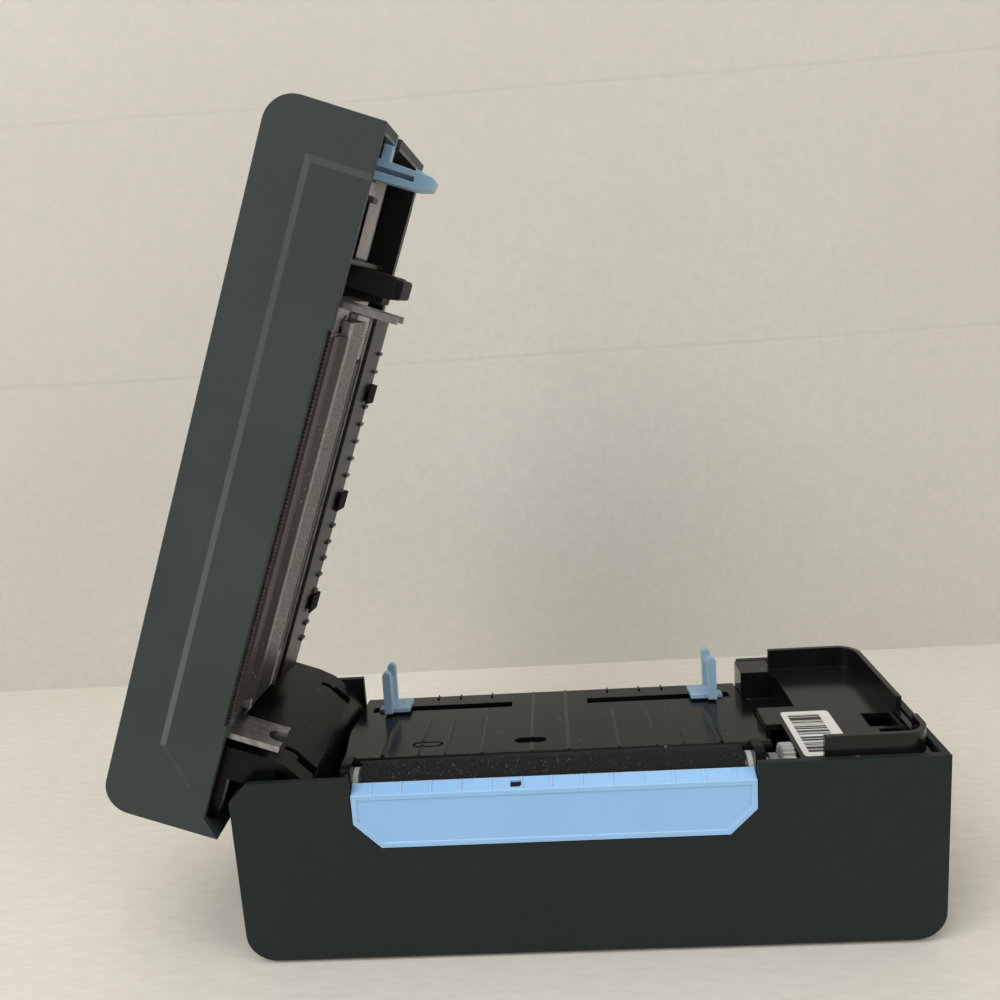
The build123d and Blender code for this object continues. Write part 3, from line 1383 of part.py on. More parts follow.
fixed_pieces = {
    "base_shell": base_shell,
    "rubber_feet": rubber_feet,
    "frame_screws": frame_screws,
    "media_deck": media_deck,
    "platen_bushes": platen_bushes,
    "platen_shaft": platen_shaft,
    "platen_rubber": platen_rubber,
    "locating_ring": locating_ring,
    "locating_stud": locating_stud,
    "platen_gear": platen_gear,
    "reduction_gear": reduction_gear,
    "motor_pinion": motor_pinion,
    "drive_plate": drive_plate,
    "plate_screws": plate_screws,
    "idler_pin": idler_pin,
    "stepper_motor": stepper_motor,
    "motor_screws": motor_screws,
    "side_deck": side_deck,
    "deck_screw": deck_screw,
    "exit_bezel": exit_bezel,
    "exit_sensor": exit_sensor,
    "gap_sensor": gap_sensor,
    "main_board": main_board,
    "board_screws": board_screws,
    "board_parts": board_parts,
    "usb_socket": usb_socket,
    "power_socket": power_socket,
    "switch_body": switch_body,
    "power_rocker": power_rocker,
    "hinge_pins": hinge_pins,
}
for label, piece in fixed_pieces.items():
    piece.part.label = label
    export_step(piece.part, f"parts/{label}.step")

# Pieces on the sloping deck are laid on it, the right guide and rack after half a turn.
sloping_pieces = {
    "label_guide_left": (label_guide_left, 0),
    "label_guide_right": (label_guide_left, 180),
    "guide_rack_left": (guide_rack_left, 0),
    "guide_rack_right": (guide_rack_left, 180),
    "guide_pinion": (guide_pinion, 0),
    "pinion_stud": (pinion_stud, 0),
}
for label, (piece, turn) in sloping_pieces.items():
    laid = piece.part.rotate(Axis.Z, turn).moved(deck_place)
    laid.label = label
    export_step(laid, f"parts/{label}.step")

# Pieces of the lid are turned open about the hinge.
hinge_axis = Axis((hinge_x, 0, hinge_height), (0, 1, 0))
lid_pieces = {
    "lid_shell": lid_shell,
    "lid_frame": lid_frame,
    "lid_screws": lid_screws,
    "liner_strip": liner_strip,
    "hold_down_pads": hold_down_pads,
    "tear_bar": tear_bar,
    "locating_block": locating_block,
    "hinge_guard": hinge_guard,
    "head_bracket": head_bracket,
    "head_ceramic": head_ceramic,
    "head_strip": head_strip,
    "head_cover": head_cover,
    "head_board": head_board,
    "head_connectors": head_connectors,
    "connector_pins": connector_pins,
    "head_springs": head_springs,
    "head_screws": head_screws,
    "release_latch": release_latch,
    "latch_pin": latch_pin,
    "latch_spring": latch_spring,
    "feed_button": feed_button,
    "control_board": control_board,
    "feed_switch": feed_switch,
    "status_lens": status_lens,
}
for label, piece in lid_pieces.items():
    opened = piece.part.rotate(hinge_axis, -open_angle)
    opened.label = label
    export_step(opened, f"parts/{label}.step")
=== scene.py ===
# %% [markdown]
# # The looks of a label printer that stands open
# The construction is already fixed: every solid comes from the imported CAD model, and this script
# only dresses it. It works through four steps.
#
# 1. Load the model and measure it.
# 2. Build a few shader effects as node groups, so that several materials can share them.
# 3. Mix a material for every material slot of the model, and add the thin label of the side deck.
# 4. Set up the table, the wall, the light and the camera as in the photograph, and finish.

import json
from math import radians

import bpy
import numpy as np
from mathutils import Matrix, Vector


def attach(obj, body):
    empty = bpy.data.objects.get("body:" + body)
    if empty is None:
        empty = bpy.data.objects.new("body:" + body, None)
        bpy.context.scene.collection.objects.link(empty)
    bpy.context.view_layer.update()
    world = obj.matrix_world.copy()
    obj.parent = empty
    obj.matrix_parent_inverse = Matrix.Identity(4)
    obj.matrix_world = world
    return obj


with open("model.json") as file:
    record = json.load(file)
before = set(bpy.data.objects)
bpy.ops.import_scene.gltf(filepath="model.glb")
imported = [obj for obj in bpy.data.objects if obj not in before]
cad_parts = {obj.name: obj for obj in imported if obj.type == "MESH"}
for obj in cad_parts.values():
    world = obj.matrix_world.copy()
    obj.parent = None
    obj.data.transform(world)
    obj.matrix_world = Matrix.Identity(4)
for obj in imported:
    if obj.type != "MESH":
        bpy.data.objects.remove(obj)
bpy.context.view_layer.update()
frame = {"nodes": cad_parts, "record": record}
nodes = frame["nodes"]
record = frame["record"]

# %% [markdown]
# ## Building blocks for node trees
# Blender describes a material as a tree of nodes. The helpers below keep the rest short. Each adds
# one kind of node, fills in its inputs, and returns the node or its output. An input takes either a
# constant or the output of another node, so every helper accepts both. A group only works out
# colours, masks, values and normals. The shader itself always stays in the material. Noise seldom
# leaves the middle of its range, so it is mostly stretched from there: NARROW gives clear patches,
# WIDE gives soft ones.

# %% Helpers that add nodes and fill in their inputs


def plug(tree, socket, value):
    """Fills in one input: another node's output is linked, anything else becomes its constant."""
    if isinstance(value, bpy.types.NodeSocket):
        tree.links.new(value, socket)
    else:
        socket.default_value = value


def feed(tree, node, **inputs):
    """Fills in a node's inputs by name, with an underscore for each space in the name."""
    for name, value in inputs.items():
        plug(tree, node.inputs[name.replace("_", " ")], value)


def add(tree, kind, settings=None, **inputs):
    """Adds a node, sets its properties from settings and fills in its inputs by name."""
    node = tree.nodes.new(kind)
    for name, value in (settings or {}).items():
        setattr(node, name, value)
    feed(tree, node, **inputs)
    return node


def new_group(name, inputs, outputs):
    """A node group: (name, type, default) for what goes in, (name, type) for what comes out."""
    tree = bpy.data.node_groups.new(name, "ShaderNodeTree")
    for label, kind, default in inputs:
        socket = tree.interface.new_socket(label, in_out="INPUT", socket_type=kind)
        socket.default_value = default
    for label, kind in outputs:
        tree.interface.new_socket(label, in_out="OUTPUT", socket_type=kind)
    return tree, tree.nodes.new("NodeGroupInput").outputs, tree.nodes.new("NodeGroupOutput")


def use(tree, group, **inputs):
    """Places a node group in another tree and returns its outputs."""
    return add(tree, "ShaderNodeGroup", {"node_tree": group}, **inputs).outputs


# %% Helpers for coordinates, noise and arithmetic


def where(tree, kind="Object"):
    """The coordinates of the shaded point: in the object's own frame, or its UV or normal."""
    return tree.nodes.new("ShaderNodeTexCoord").outputs[kind]


def facing(tree):
    """The normal of the shaded point in the scene's frame."""
    return tree.nodes.new("ShaderNodeNewGeometry").outputs["Normal"]


def noise(tree, place, scale, detail, roughness=0.5):
    """Cloudy noise between 0 and 1."""
    node = add(
        tree, "ShaderNodeTexNoise", Vector=place, Scale=scale, Detail=detail, Roughness=roughness
    )
    return node.outputs["Fac"]


def maths(tree, operation, first, second=0.0):
    """One arithmetic step between two values."""
    node = tree.nodes.new("ShaderNodeMath")
    node.operation = operation
    for socket, value in zip(node.inputs, (first, second)):
        plug(tree, socket, value)
    return node.outputs[0]


def product(tree, first, *others):
    """The product of several values."""
    for other in others:
        first = maths(tree, "MULTIPLY", first, other)
    return first


def spread(tree, value, low, high, to_low=0.0, to_high=1.0):
    """Stretches the part of a value between low and high over a new range, and clips the rest."""
    node = add(
        tree,
        "ShaderNodeMapRange",
        {"clamp": True},
        Value=value,
        From_Min=low,
        From_Max=high,
        To_Min=to_low,
        To_Max=to_high,
    )
    return node.outputs["Result"]


def blend(tree, mask, first, second):
    """Mixes two colours by a mask: 0 shows the first, 1 the second."""
    node = add(tree, "ShaderNodeMix", {"data_type": "RGBA"})
    for index, value in ((0, mask), (6, first), (7, second)):
        plug(tree, node.inputs[index], value)
    return node.outputs[2]


def switch(tree, mask, first, second):
    """Mixes two shaders by a mask: 0 shows the first, 1 the second."""
    node = tree.nodes.new("ShaderNodeMixShader")
    for socket, value in zip(node.inputs, (mask, first, second)):
        plug(tree, socket, value)
    return node.outputs["Shader"]


NARROW = (0.35, 0.65)
WIDE = (0.3, 0.7)


def srgb(red, green, blue):
    """A colour given as it is seen on a screen, 0 to 255, in the linear values that shaders use."""
    parts = []
    for value in (red, green, blue):
        value = value / 255
        parts.append(((value + 0.055) / 1.055) ** 2.4 if value > 0.04045 else value / 12.92)
    return (*parts, 1.0)


# %% [markdown]
# ## A shared effect: moulded grain
# The mould of such a printer is etched, so its plastic has a fine grain, and its colour drifts a
# little over a broad face. The grain could be cut into the mesh, but it is finer than a hair, and
# noise that only bends the light is enough. The same group rounds off the hard CAD edges with a
# bevel term, so that they catch light. Where the rounded normal departs from the true one there is
# an edge. The group gives that out as a mask, with which the blue pieces get a painted highlight
# along their edges. As a group it is built once and placed in many materials, each time with other
# values.

# %% Moulded grain
FLOAT = "NodeSocketFloat"
VECTOR = "NodeSocketVector"
BEVEL = "ShaderNodeBevel"
BEVEL_SAMPLES = {"samples": 4}
CLOUD_SCALE = 22.0
GRAIN_HEIGHT = 0.0002
AT_AN_EDGE, OFF_THE_EDGE = 0.9, 0.995

grain, given, result = new_group(
    "Moulded grain",
    [("Scale", FLOAT, 2500.0), ("Depth", FLOAT, 0.2), ("Edge Radius", FLOAT, 0.0004)],
    [("Normal", VECTOR), ("Cloud", FLOAT), ("Grain", FLOAT), ("Edge", FLOAT)],
)
place = where(grain)
fine = noise(grain, place, given["Scale"], 3.0, 0.6)
broad = noise(grain, place, CLOUD_SCALE, 4.0, 0.55)
rounded = add(grain, BEVEL, BEVEL_SAMPLES, Radius=given["Edge Radius"]).outputs["Normal"]
bump = add(grain, "ShaderNodeBump", Strength=given["Depth"], Distance=GRAIN_HEIGHT)
feed(grain, bump, Height=fine, Normal=rounded)
alike = add(grain, "ShaderNodeVectorMath", {"operation": "DOT_PRODUCT"})
plug(grain, alike.inputs[0], rounded)
plug(grain, alike.inputs[1], facing(grain))
edge = spread(grain, alike.outputs["Value"], AT_AN_EDGE, OFF_THE_EDGE, 1.0, 0.0)
feed(grain, result, Normal=bump.outputs["Normal"], Cloud=broad, Grain=fine, Edge=edge)
print("group:", grain.name)

# %% [markdown]
# ## A shared effect: dust
# Labels shed paper dust, and specks of it lie on the deck and cling to the roller. They could be
# tiny meshes, but thousands of them would be heavy. Voronoi noise cuts space into cells instead. A
# random colour in each cell decides whether it holds a speck and how large that is, and broad noise
# keeps the specks in patches. Where dust only settles, the mask asks for a face that looks up.

# %% Specks of dust
SMALLEST_SPECK, LARGEST_SPECK = 0.05, 0.22
PATCH_SCALE = 28.0
STEEP, LEVEL_ENOUGH = 0.2, 0.9

dust, given, result = new_group(
    "Dust",
    [("Scale", FLOAT, 350.0), ("Amount", FLOAT, 0.5), ("Upward Only", FLOAT, 1.0)],
    [("Mask", FLOAT)],
)
place = where(dust)
cells = add(dust, "ShaderNodeTexVoronoi", Vector=place, Scale=given["Scale"], Randomness=1.0)
chance = add(dust, "ShaderNodeSeparateColor", Color=cells.outputs["Color"]).outputs
few = maths(dust, "GREATER_THAN", given["Amount"], chance[0])
size = spread(dust, chance[1], 0.0, 1.0, SMALLEST_SPECK, LARGEST_SPECK)
near = maths(dust, "GREATER_THAN", size, cells.outputs["Distance"])
uneven = spread(dust, noise(dust, place, PATCH_SCALE, 3.0), *NARROW, 0.25, 1.0)
upward = add(dust, "ShaderNodeSeparateXYZ", Vector=facing(dust)).outputs["Z"]
anywhere = maths(dust, "SUBTRACT", 1.0, given["Upward Only"])
settled = maths(dust, "MAXIMUM", spread(dust, upward, STEEP, LEVEL_ENOUGH), anywhere)
mask = product(dust, product(dust, few, near), product(dust, uneven, settled))
feed(dust, result, Mask=mask)
print("group:", dust.name)

# %% [markdown]
# ## A shared effect: brushed metal
# Rolled and brushed steel carries long fine streaks. Noise that is stretched along one axis gives
# them without an image: the streaks run along the axis with the small number in Direction. Tilt
# turns the coordinates first, because the print head lies in the open lid, askew to the axes.

# %% Streaks of brushed or rolled metal
ALONG_X = (0.02, 1.0, 1.0)
LEVEL = (0.0, 0.0, 0.0)
METAL_EDGE = 0.00025
STREAK_HEIGHT = 0.0001
STREAK_STRENGTH = 0.12

brushed, given, result = new_group(
    "Brushed",
    [("Direction", VECTOR, ALONG_X), ("Tilt", VECTOR, LEVEL), ("Scale", FLOAT, 900.0)],
    [("Streaks", FLOAT), ("Normal", VECTOR)],
)
turned = add(brushed, "ShaderNodeMapping", Vector=where(brushed), Rotation=given["Tilt"])
long = add(brushed, "ShaderNodeMapping", Vector=turned.outputs[0], Scale=given["Direction"])
streak = noise(brushed, long.outputs[0], given["Scale"], 4.0)
rounded = add(brushed, BEVEL, BEVEL_SAMPLES, Radius=METAL_EDGE).outputs["Normal"]
bump = add(brushed, "ShaderNodeBump", Strength=STREAK_STRENGTH, Distance=STREAK_HEIGHT)
feed(brushed, bump, Height=streak, Normal=rounded)
feed(brushed, result, Streaks=streak, Normal=bump.outputs["Normal"])
print("group:", brushed.name)

# %% [markdown]
# ## Materials
# Each kind of surface has one recipe, a function that takes the numbers in which its variants
# differ. The other way would be forty materials, each written out, in which a change has to be made
# forty times. A recipe starts from a Principled shader and feeds its own sockets. Colours are given
# as they look on a screen, and most surfaces drift between a colour and a darker one.

# %% A blank material


def blank(name):
    """A new material with a Principled shader: returns the material, its tree and the shader."""
    material = bpy.data.materials.new(name)
    material.use_nodes = True
    tree = material.node_tree
    return material, tree, tree.nodes["Principled BSDF"]


# %% [markdown]
# ## Plastic
# Nearly all that shows is moulded plastic. An even colour would look painted on, so two close
# shades are mixed by the cloudy noise, and the roughness drifts in the same way. The blue pieces
# get a painted highlight along their edges, and the pieces that lie open get dust, which also dulls
# them where it lies.

# %% Plastics
DUST_GREY = (118, 116, 110)
SMOOTHER, ROUGHER = 0.85, 1.15
ROUGH_DUST = 0.9


def plastic(
    name, colour, darker, roughness, grain_scale, depth, dusty=0.0, shine=0.5, painted_edge_highlight=None
):
    """Moulded plastic: two shades that drift into each other, grain, painted edge highlights and
    dust.
    """
    material, tree, shader = blank(name)
    surface = use(tree, grain, Scale=grain_scale, Depth=depth)
    cloud = surface["Cloud"]
    tone = blend(tree, spread(tree, cloud, *NARROW), srgb(*darker), srgb(*colour))
    # Painted highlight: the edges get a paler colour that stands in for light catching them.
    if painted_edge_highlight:
        tone = blend(tree, surface["Edge"], tone, srgb(*painted_edge_highlight))
    rough = spread(tree, cloud, *WIDE, roughness * SMOOTHER, min(1.0, roughness * ROUGHER))
    if dusty:
        specks = use(tree, dust, Amount=dusty)["Mask"]
        tone = blend(tree, specks, tone, srgb(*DUST_GREY))
        rough = maths(tree, "MAXIMUM", rough, product(tree, specks, ROUGH_DUST))
    feed(tree, shader, Base_Color=tone, Roughness=rough, Normal=surface["Normal"])
    feed(tree, shader, IOR=1.5, Specular_IOR_Level=shine)
    return material


# %% [markdown]
# ## Metal
# Screws, shafts and the plates of the print head are metal. Metal shows what it reflects, so the
# streaks change how sharp the reflection is: the pale ones are smoother, the dark ones rougher.

# %% Metals


def metal(name, colour, darker, roughness, direction=ALONG_X, tilt=0.0, scale=900.0):
    """Metal with streaks: they run along the axis that the direction's small number stands for."""
    material, tree, shader = blank(name)
    turn = (0.0, radians(tilt), 0.0)
    surface = use(tree, brushed, Direction=direction, Tilt=turn, Scale=scale)
    streaks = spread(tree, surface["Streaks"], *WIDE)
    tone = blend(tree, streaks, srgb(*darker), srgb(*colour))
    rough = spread(tree, surface["Streaks"], *WIDE, roughness * 1.2, roughness * 0.8)
    feed(tree, shader, Base_Color=tone, Roughness=rough, Normal=surface["Normal"], Metallic=1.0)
    return material


# %% [markdown]
# ## Rubber
# The roller is ground rubber, matt and coarse, and paper dust clings to it all round. The grain
# group raises it strongly, and its highest grains are drawn in a paler colour. A photograph of
# rubber wrapped round the roller would show a seam. Noise fills space, so it has none.

# %% Rubber of the roller and the feet
PAPER_DUST = (150, 147, 140)
HIGH_GRAINS = (0.56, 0.7)


def rubber(name, colour, speck, roughness, scale, dusty=0.0):
    """Ground rubber: a coarse grain in which single pale grains and specks of paper stand out."""
    material, tree, shader = blank(name)
    surface = use(tree, grain, Scale=scale, Depth=0.9, Edge_Radius=0.0003)
    high = spread(tree, surface["Grain"], *HIGH_GRAINS)
    tone = blend(tree, high, srgb(*colour), srgb(*speck))
    specks = use(tree, dust, Scale=1500.0, Amount=dusty, Upward_Only=0.0)["Mask"]
    tone = blend(tree, specks, tone, srgb(*PAPER_DUST))
    feed(tree, shader, Base_Color=tone, Roughness=roughness, Normal=surface["Normal"])
    feed(tree, shader, Specular_IOR_Level=0.2)
    return material


# %% [markdown]
# ## Ceramic and circuit boards
# The print head's plate is glazed ceramic: brown clouds and fine pale specks under a thin coat. The
# boards are lacquer over copper traces. Those could be modelled one by one, but the boards are
# hardly seen, so a brick pattern gives straight lines and a broad cloud breaks them up.

# %% Ceramic and circuit boards
GLAZE_SPECK = (170, 165, 168)


def glazed(name, colour, darker, roughness):
    """The print head's ceramic: a glaze over a cloudy, faintly speckled body."""
    material, tree, shader = blank(name)
    surface = use(tree, grain, Scale=1500.0, Depth=0.1, Edge_Radius=0.0002)
    tone = blend(tree, spread(tree, surface["Cloud"], *WIDE), srgb(*darker), srgb(*colour))
    specks = use(tree, dust, Scale=700.0, Amount=0.5, Upward_Only=0.0)["Mask"]
    tone = blend(tree, specks, tone, srgb(*GLAZE_SPECK))
    feed(tree, shader, Base_Color=tone, Roughness=roughness, Normal=surface["Normal"])
    feed(tree, shader, Coat_Weight=0.15, Coat_Roughness=0.3)
    return material


def circuit(name, mask_colour, trace_colour):
    """A circuit board: dark lacquer with a pattern of straight traces under it."""
    material, tree, shader = blank(name)
    bricks = add(tree, "ShaderNodeTexBrick", Vector=where(tree), Scale=260.0, Mortar_Size=0.06)
    surface = use(tree, grain, Scale=900.0, Depth=0.1, Edge_Radius=0.0002)
    lines = product(tree, bricks.outputs["Fac"], spread(tree, surface["Cloud"], 0.4, 0.6))
    tone = blend(tree, lines, srgb(*mask_colour), srgb(*trace_colour))
    feed(tree, shader, Base_Color=tone, Roughness=0.3, Normal=surface["Normal"])
    return material


# %% [markdown]
# ## One material for each slot of the model
# The record names the slots, so the table below is keyed by them. The casing is a dark green-grey
# plastic with a fine mould texture, the parts inside are black with a gloss, and what a hand is
# meant to touch is pale blue. The numbers after a plastic's two colours are its roughness, the
# scale and depth of its grain, and its dust. Metal in the lid has its streaks tilted with the lid.

# %% Mix the materials
LID_TILT = -69.3
looks = {
    "casing": plastic("Casing", (28, 36, 34), (24, 32, 30), 0.55, 2600, 0.28, 0.02, shine=0.25),
    "lid_casing": plastic("Lid casing", (54, 60, 60), (49, 55, 55), 0.55, 2600, 0.28, shine=0.3),
    "deck_black": plastic("Deck", (21, 20, 20), (15, 15, 15), 0.17, 700, 0.04, 0.1, shine=0.12),
    "frame_black": plastic(
        "Lid frame", (20, 19, 19), (14, 14, 14), 0.34, 900, 0.08, 0.05, shine=0.4
    ),
    "guard_black": plastic(
        "Hinge guard", (15, 15, 15), (11, 11, 11), 0.26, 900, 0.05, 0.1, shine=0.15
    ),
    # The last colour of each blue piece is a painted highlight for its edges.
    "bezel_blue": plastic(
        "Bezel", (148, 193, 236), (141, 187, 231), 0.42, 1800, 0.1, painted_edge_highlight=(196, 222, 245)
    ),
    "guide_blue": plastic(
        "Label guides", (148, 179, 203), (138, 170, 195), 0.4, 1800, 0.1, painted_edge_highlight=(190, 212, 230)
    ),
    "latch_blue": plastic(
        "Latch", (146, 180, 208), (136, 171, 200), 0.4, 1800, 0.1, painted_edge_highlight=(196, 214, 230)
    ),
    "rack_black": plastic("Racks", (34, 34, 35), (28, 28, 29), 0.4, 1200, 0.1),
    "roller_rubber": rubber("Roller", (22, 22, 22), (44, 43, 41), 0.8, 2600, 0.7),
    "foot_rubber": rubber("Feet", (28, 28, 28), (48, 48, 48), 0.9, 1500),
    "steel": metal("Steel", (182, 182, 184), (150, 150, 153), 0.3),
    "spring_steel": metal("Springs", (170, 170, 172), (135, 135, 138), 0.32),
    "screw_steel": metal("Screws", (165, 165, 168), (120, 120, 124), 0.35),
    "bush_white": plastic("Bushes", (212, 211, 208), (200, 198, 194), 0.45, 1500, 0.1),
    "ring_grey": plastic("Rings", (128, 126, 126), (112, 110, 111), 0.4, 1500, 0.1),
    "gear_white": plastic("Gears", (186, 185, 182), (164, 163, 160), 0.45, 1500, 0.1),
    "brass": metal("Brass", (214, 180, 110), (180, 148, 84), 0.3),
    "motor_metal": metal("Motor", (176, 176, 180), (148, 148, 152), 0.35),
    "head_metal": metal(
        "Head bracket", (180, 177, 177), (126, 123, 124), 0.36, tilt=LID_TILT, scale=500.0
    ),
    "head_ceramic": glazed("Head ceramic", (66, 58, 57), (44, 39, 38), 0.55),
    "strip_metal": metal("Head strip", (172, 169, 168), (140, 137, 136), 0.36, tilt=LID_TILT),
    "cover_metal": metal(
        "Head cover", (150, 146, 147), (86, 83, 84), 0.42, direction=(1.0, 1.0, 1.0), scale=1300.0
    ),
    "circuit_board": circuit("Circuit board", (17, 23, 20), (36, 42, 35)),
    "connector_cream": plastic("Connectors", (206, 202, 190), (192, 188, 176), 0.45, 1500, 0.1),
    "pin_metal": metal("Pins", (205, 200, 188), (170, 165, 150), 0.3),
    "tear_steel": metal("Tear bar", (74, 71, 71), (52, 49, 50), 0.42, tilt=LID_TILT),
    "liner_grey": plastic("Liner strip", (238, 234, 226), (230, 225, 217), 0.6, 1800, 0.1),
    "socket_metal": metal("Socket", (190, 190, 193), (160, 160, 163), 0.28),
    "socket_black": plastic("Sockets", (30, 30, 31), (24, 24, 25), 0.4, 1500, 0.1),
    "sensor_black": plastic("Sensor windows", (12, 12, 14), (8, 8, 10), 0.45, 900, 0.02, shine=0.2),
    "button_grey": plastic("Button", (100, 107, 106), (92, 99, 98), 0.45, 2200, 0.2),
    "lens_clear": plastic("Light", (205, 222, 226), (190, 208, 213), 0.15, 900, 0.02),
}
print("materials for slots:", len(looks))

# %% [markdown]
# ## Pieces that look unlike the rest of their slot
# The three pads and the block that locates the lid are dull. The side deck is a little less dark
# than the label deck, and its screw is blackened. The print head's board is painted nearly black as
# shade, because it lies in shadow beside its connector. A piece that shares its slot with others
# gets its own material by its name, so that they keep theirs.

# %% Mix the exceptions
unlike = {
    "hold_down_pads": plastic("Pads", (17, 16, 14), (12, 12, 11), 0.75, 1500, 0.3, shine=0.12),
    "locating_block": plastic(
        "Locating block", (34, 34, 33), (28, 28, 27), 0.55, 1200, 0.2, shine=0.12
    ),
    "side_deck": plastic("Side deck", (24, 22, 22), (18, 17, 17), 0.19, 700, 0.04, 0.1, shine=0.3),
    "deck_screw": metal("Deck screw", (66, 64, 63), (44, 42, 42), 0.4),
    # Painted shade: the board's near-black colours stand in for the shadow that it lies in.
    "head_board": circuit("Head board", (10, 10, 10), (16, 16, 14)),
}
print("exceptions:", sorted(unlike))

# %% [markdown]
# ## A painted highlight on the lid's sides
# The raised field on each long side of the lid has a narrow sloping rim. The part of the rim that
# slopes up and to the left catches light and shows as a pale line, strongest near the hinge. The
# rim belongs to the same solid as the flat side, and a bright lamp would light both, so this
# highlight is painted into the lid's colour by a mask. The mask takes points that face mostly
# sideways (Y) and lean a little up the slope, and it fades with height.

# %% Paint a highlight on the rim that slopes upwards
RIM_PAINTED_HIGHLIGHT = (86, 89, 88)
LEAN_UP, LEAN_RIGHT = 0.85, 0.55
SLIGHT, CLEAR = 0.03, 0.2
SIDEWAYS = 0.8
FADE_LOW, FADE_HIGH = 0.07, 0.2
FAINTEST = 0.2

tree = looks["lid_casing"].node_tree
shader = tree.nodes["Principled BSDF"]
lid_tone = shader.inputs["Base Color"].links[0].from_socket
normal = add(tree, "ShaderNodeSeparateXYZ", Vector=where(tree, "Normal")).outputs
up = product(tree, normal["Z"], LEAN_UP)
right = product(tree, normal["X"], LEAN_RIGHT)
leaning = spread(tree, maths(tree, "SUBTRACT", up, right), SLIGHT, CLEAR)
sideways = maths(tree, "GREATER_THAN", maths(tree, "ABSOLUTE", normal["Y"]), SIDEWAYS)
height = add(tree, "ShaderNodeSeparateXYZ", Vector=where(tree)).outputs["Z"]
fading = spread(tree, height, FADE_LOW, FADE_HIGH, 1.0, FAINTEST)
rim = product(tree, leaning, sideways, fading)
# Painted highlight: the rim's mask mixes in a pale grey where light would catch the rim.
feed(tree, shader, Base_Color=blend(tree, rim, lid_tone, srgb(*RIM_PAINTED_HIGHLIGHT)))
print("rim of the lid's field: mask added to", looks["lid_casing"].name)

# %% [markdown]
# ## Hand the materials out
# Every solid of the model gets the look of its slot, or its own where the exceptions name it.

# %% Fill the material slots
for pair in record["subparts"]:
    solid = nodes[pair["node"]]
    look = unlike.get(pair["node"], looks[pair["material_slot"]])
    if not solid.material_slots:
        solid.data.materials.append(look)
    for slot in solid.material_slots:
        slot.material = look
print("materials:", len(looks) + len(unlike), "for", len(nodes), "solids")

# %% [markdown]
# ## The label on the side deck
# A small white sheet is stuck on the raised deck. It could be painted on the deck's material, but
# a real sheet has a thickness and an edge that catches light, so it is a thin closed piece. It is a
# surface of two parameters, u along its width and v along its length: the corners are rounded by
# drawing the ends in where u comes near a side. It rides on the base, to which it sticks.

# %% Functions for grids and meshes
LABEL_CORNER = (0.0638, -0.0336)
LABEL_SIZE = (0.0148, 0.0298)
LABEL_THICKNESS = 0.00012
LABEL_ROUNDING = 0.0012
DECK_TOP = 0.0570
GLUE = 0.00002


def sheet_grid(columns, rows, corner):
    """Points of a rounded rectangle: x = u, y = v drawn in by r - sqrt(r^2 - d^2) at the ends."""
    u = np.linspace(0.0, LABEL_SIZE[0], columns)
    v = np.linspace(0.0, 1.0, rows)
    reach = np.minimum(u, LABEL_SIZE[0] - u)
    short = np.clip(corner - reach, 0.0, corner)
    inset = corner - np.sqrt(corner**2 - short**2)
    x = np.repeat(u[None, :], rows, axis=0)
    y = inset[None, :] + v[:, None] * (LABEL_SIZE[1] - 2 * inset[None, :])
    return x, y


def mesh_from(name, points, faces, material):
    """A mesh object from an array of points and one of corner numbers."""
    mesh = bpy.data.meshes.new(name)
    mesh.from_pydata(points.tolist(), [], faces.tolist())
    mesh.update()
    mesh.materials.append(material)
    piece = bpy.data.objects.new(name, mesh)
    bpy.context.scene.collection.objects.link(piece)
    return piece


def quads(columns, rows, start=0, flip=False):
    """The four corners of every cell of a grid of points."""
    row, column = np.meshgrid(np.arange(rows - 1), np.arange(columns - 1), indexing="ij")
    first = start + row.ravel() * columns + column.ravel()
    cells = np.stack([first, first + 1, first + columns + 1, first + columns], axis=1)
    return cells[:, ::-1] if flip else cells


# %% [markdown]
# ## The label's print
# The print is a block of plain bars. They follow the sheet, so they read its UV map. The length is
# cut into steps, each step's number is hashed to a chance, and the steps whose chance is above a
# limit are inked. Ink has hardly any thickness, so the bars belong in the material, not the mesh.

# %% Mix the printed paper
BAR_STEPS = 92.0
BLANK_CHANCE = 0.31
PRINT_ACROSS = (0.12, 0.77)
PRINT_ALONG = (0.08, 0.92)


def within(tree, value, limits):
    """1 between two limits, 0 outside."""
    above = maths(tree, "GREATER_THAN", value, limits[0])
    return product(tree, above, maths(tree, "LESS_THAN", value, limits[1]))


label_paper, tree, shader = blank("Label paper")
spot = add(tree, "ShaderNodeSeparateXYZ", Vector=where(tree, "UV")).outputs
step = maths(tree, "FLOOR", product(tree, spot["Y"], BAR_STEPS))
chance = add(tree, "ShaderNodeTexWhiteNoise", {"noise_dimensions": "1D"}, W=step).outputs["Value"]
bar = maths(tree, "GREATER_THAN", chance, BLANK_CHANCE)
across = within(tree, spot["X"], PRINT_ACROSS)
along = within(tree, spot["Y"], PRINT_ALONG)
surface = use(tree, grain, Scale=1800.0, Depth=0.1, Edge_Radius=0.0)
cloud = spread(tree, surface["Cloud"], *WIDE)
paper = blend(tree, cloud, srgb(205, 204, 198), srgb(216, 215, 210))
printed = blend(tree, product(tree, bar, across, along), paper, srgb(34, 34, 36))
feed(tree, shader, Base_Color=printed, Roughness=0.45)
print("paper with bars in", int(BAR_STEPS), "steps")

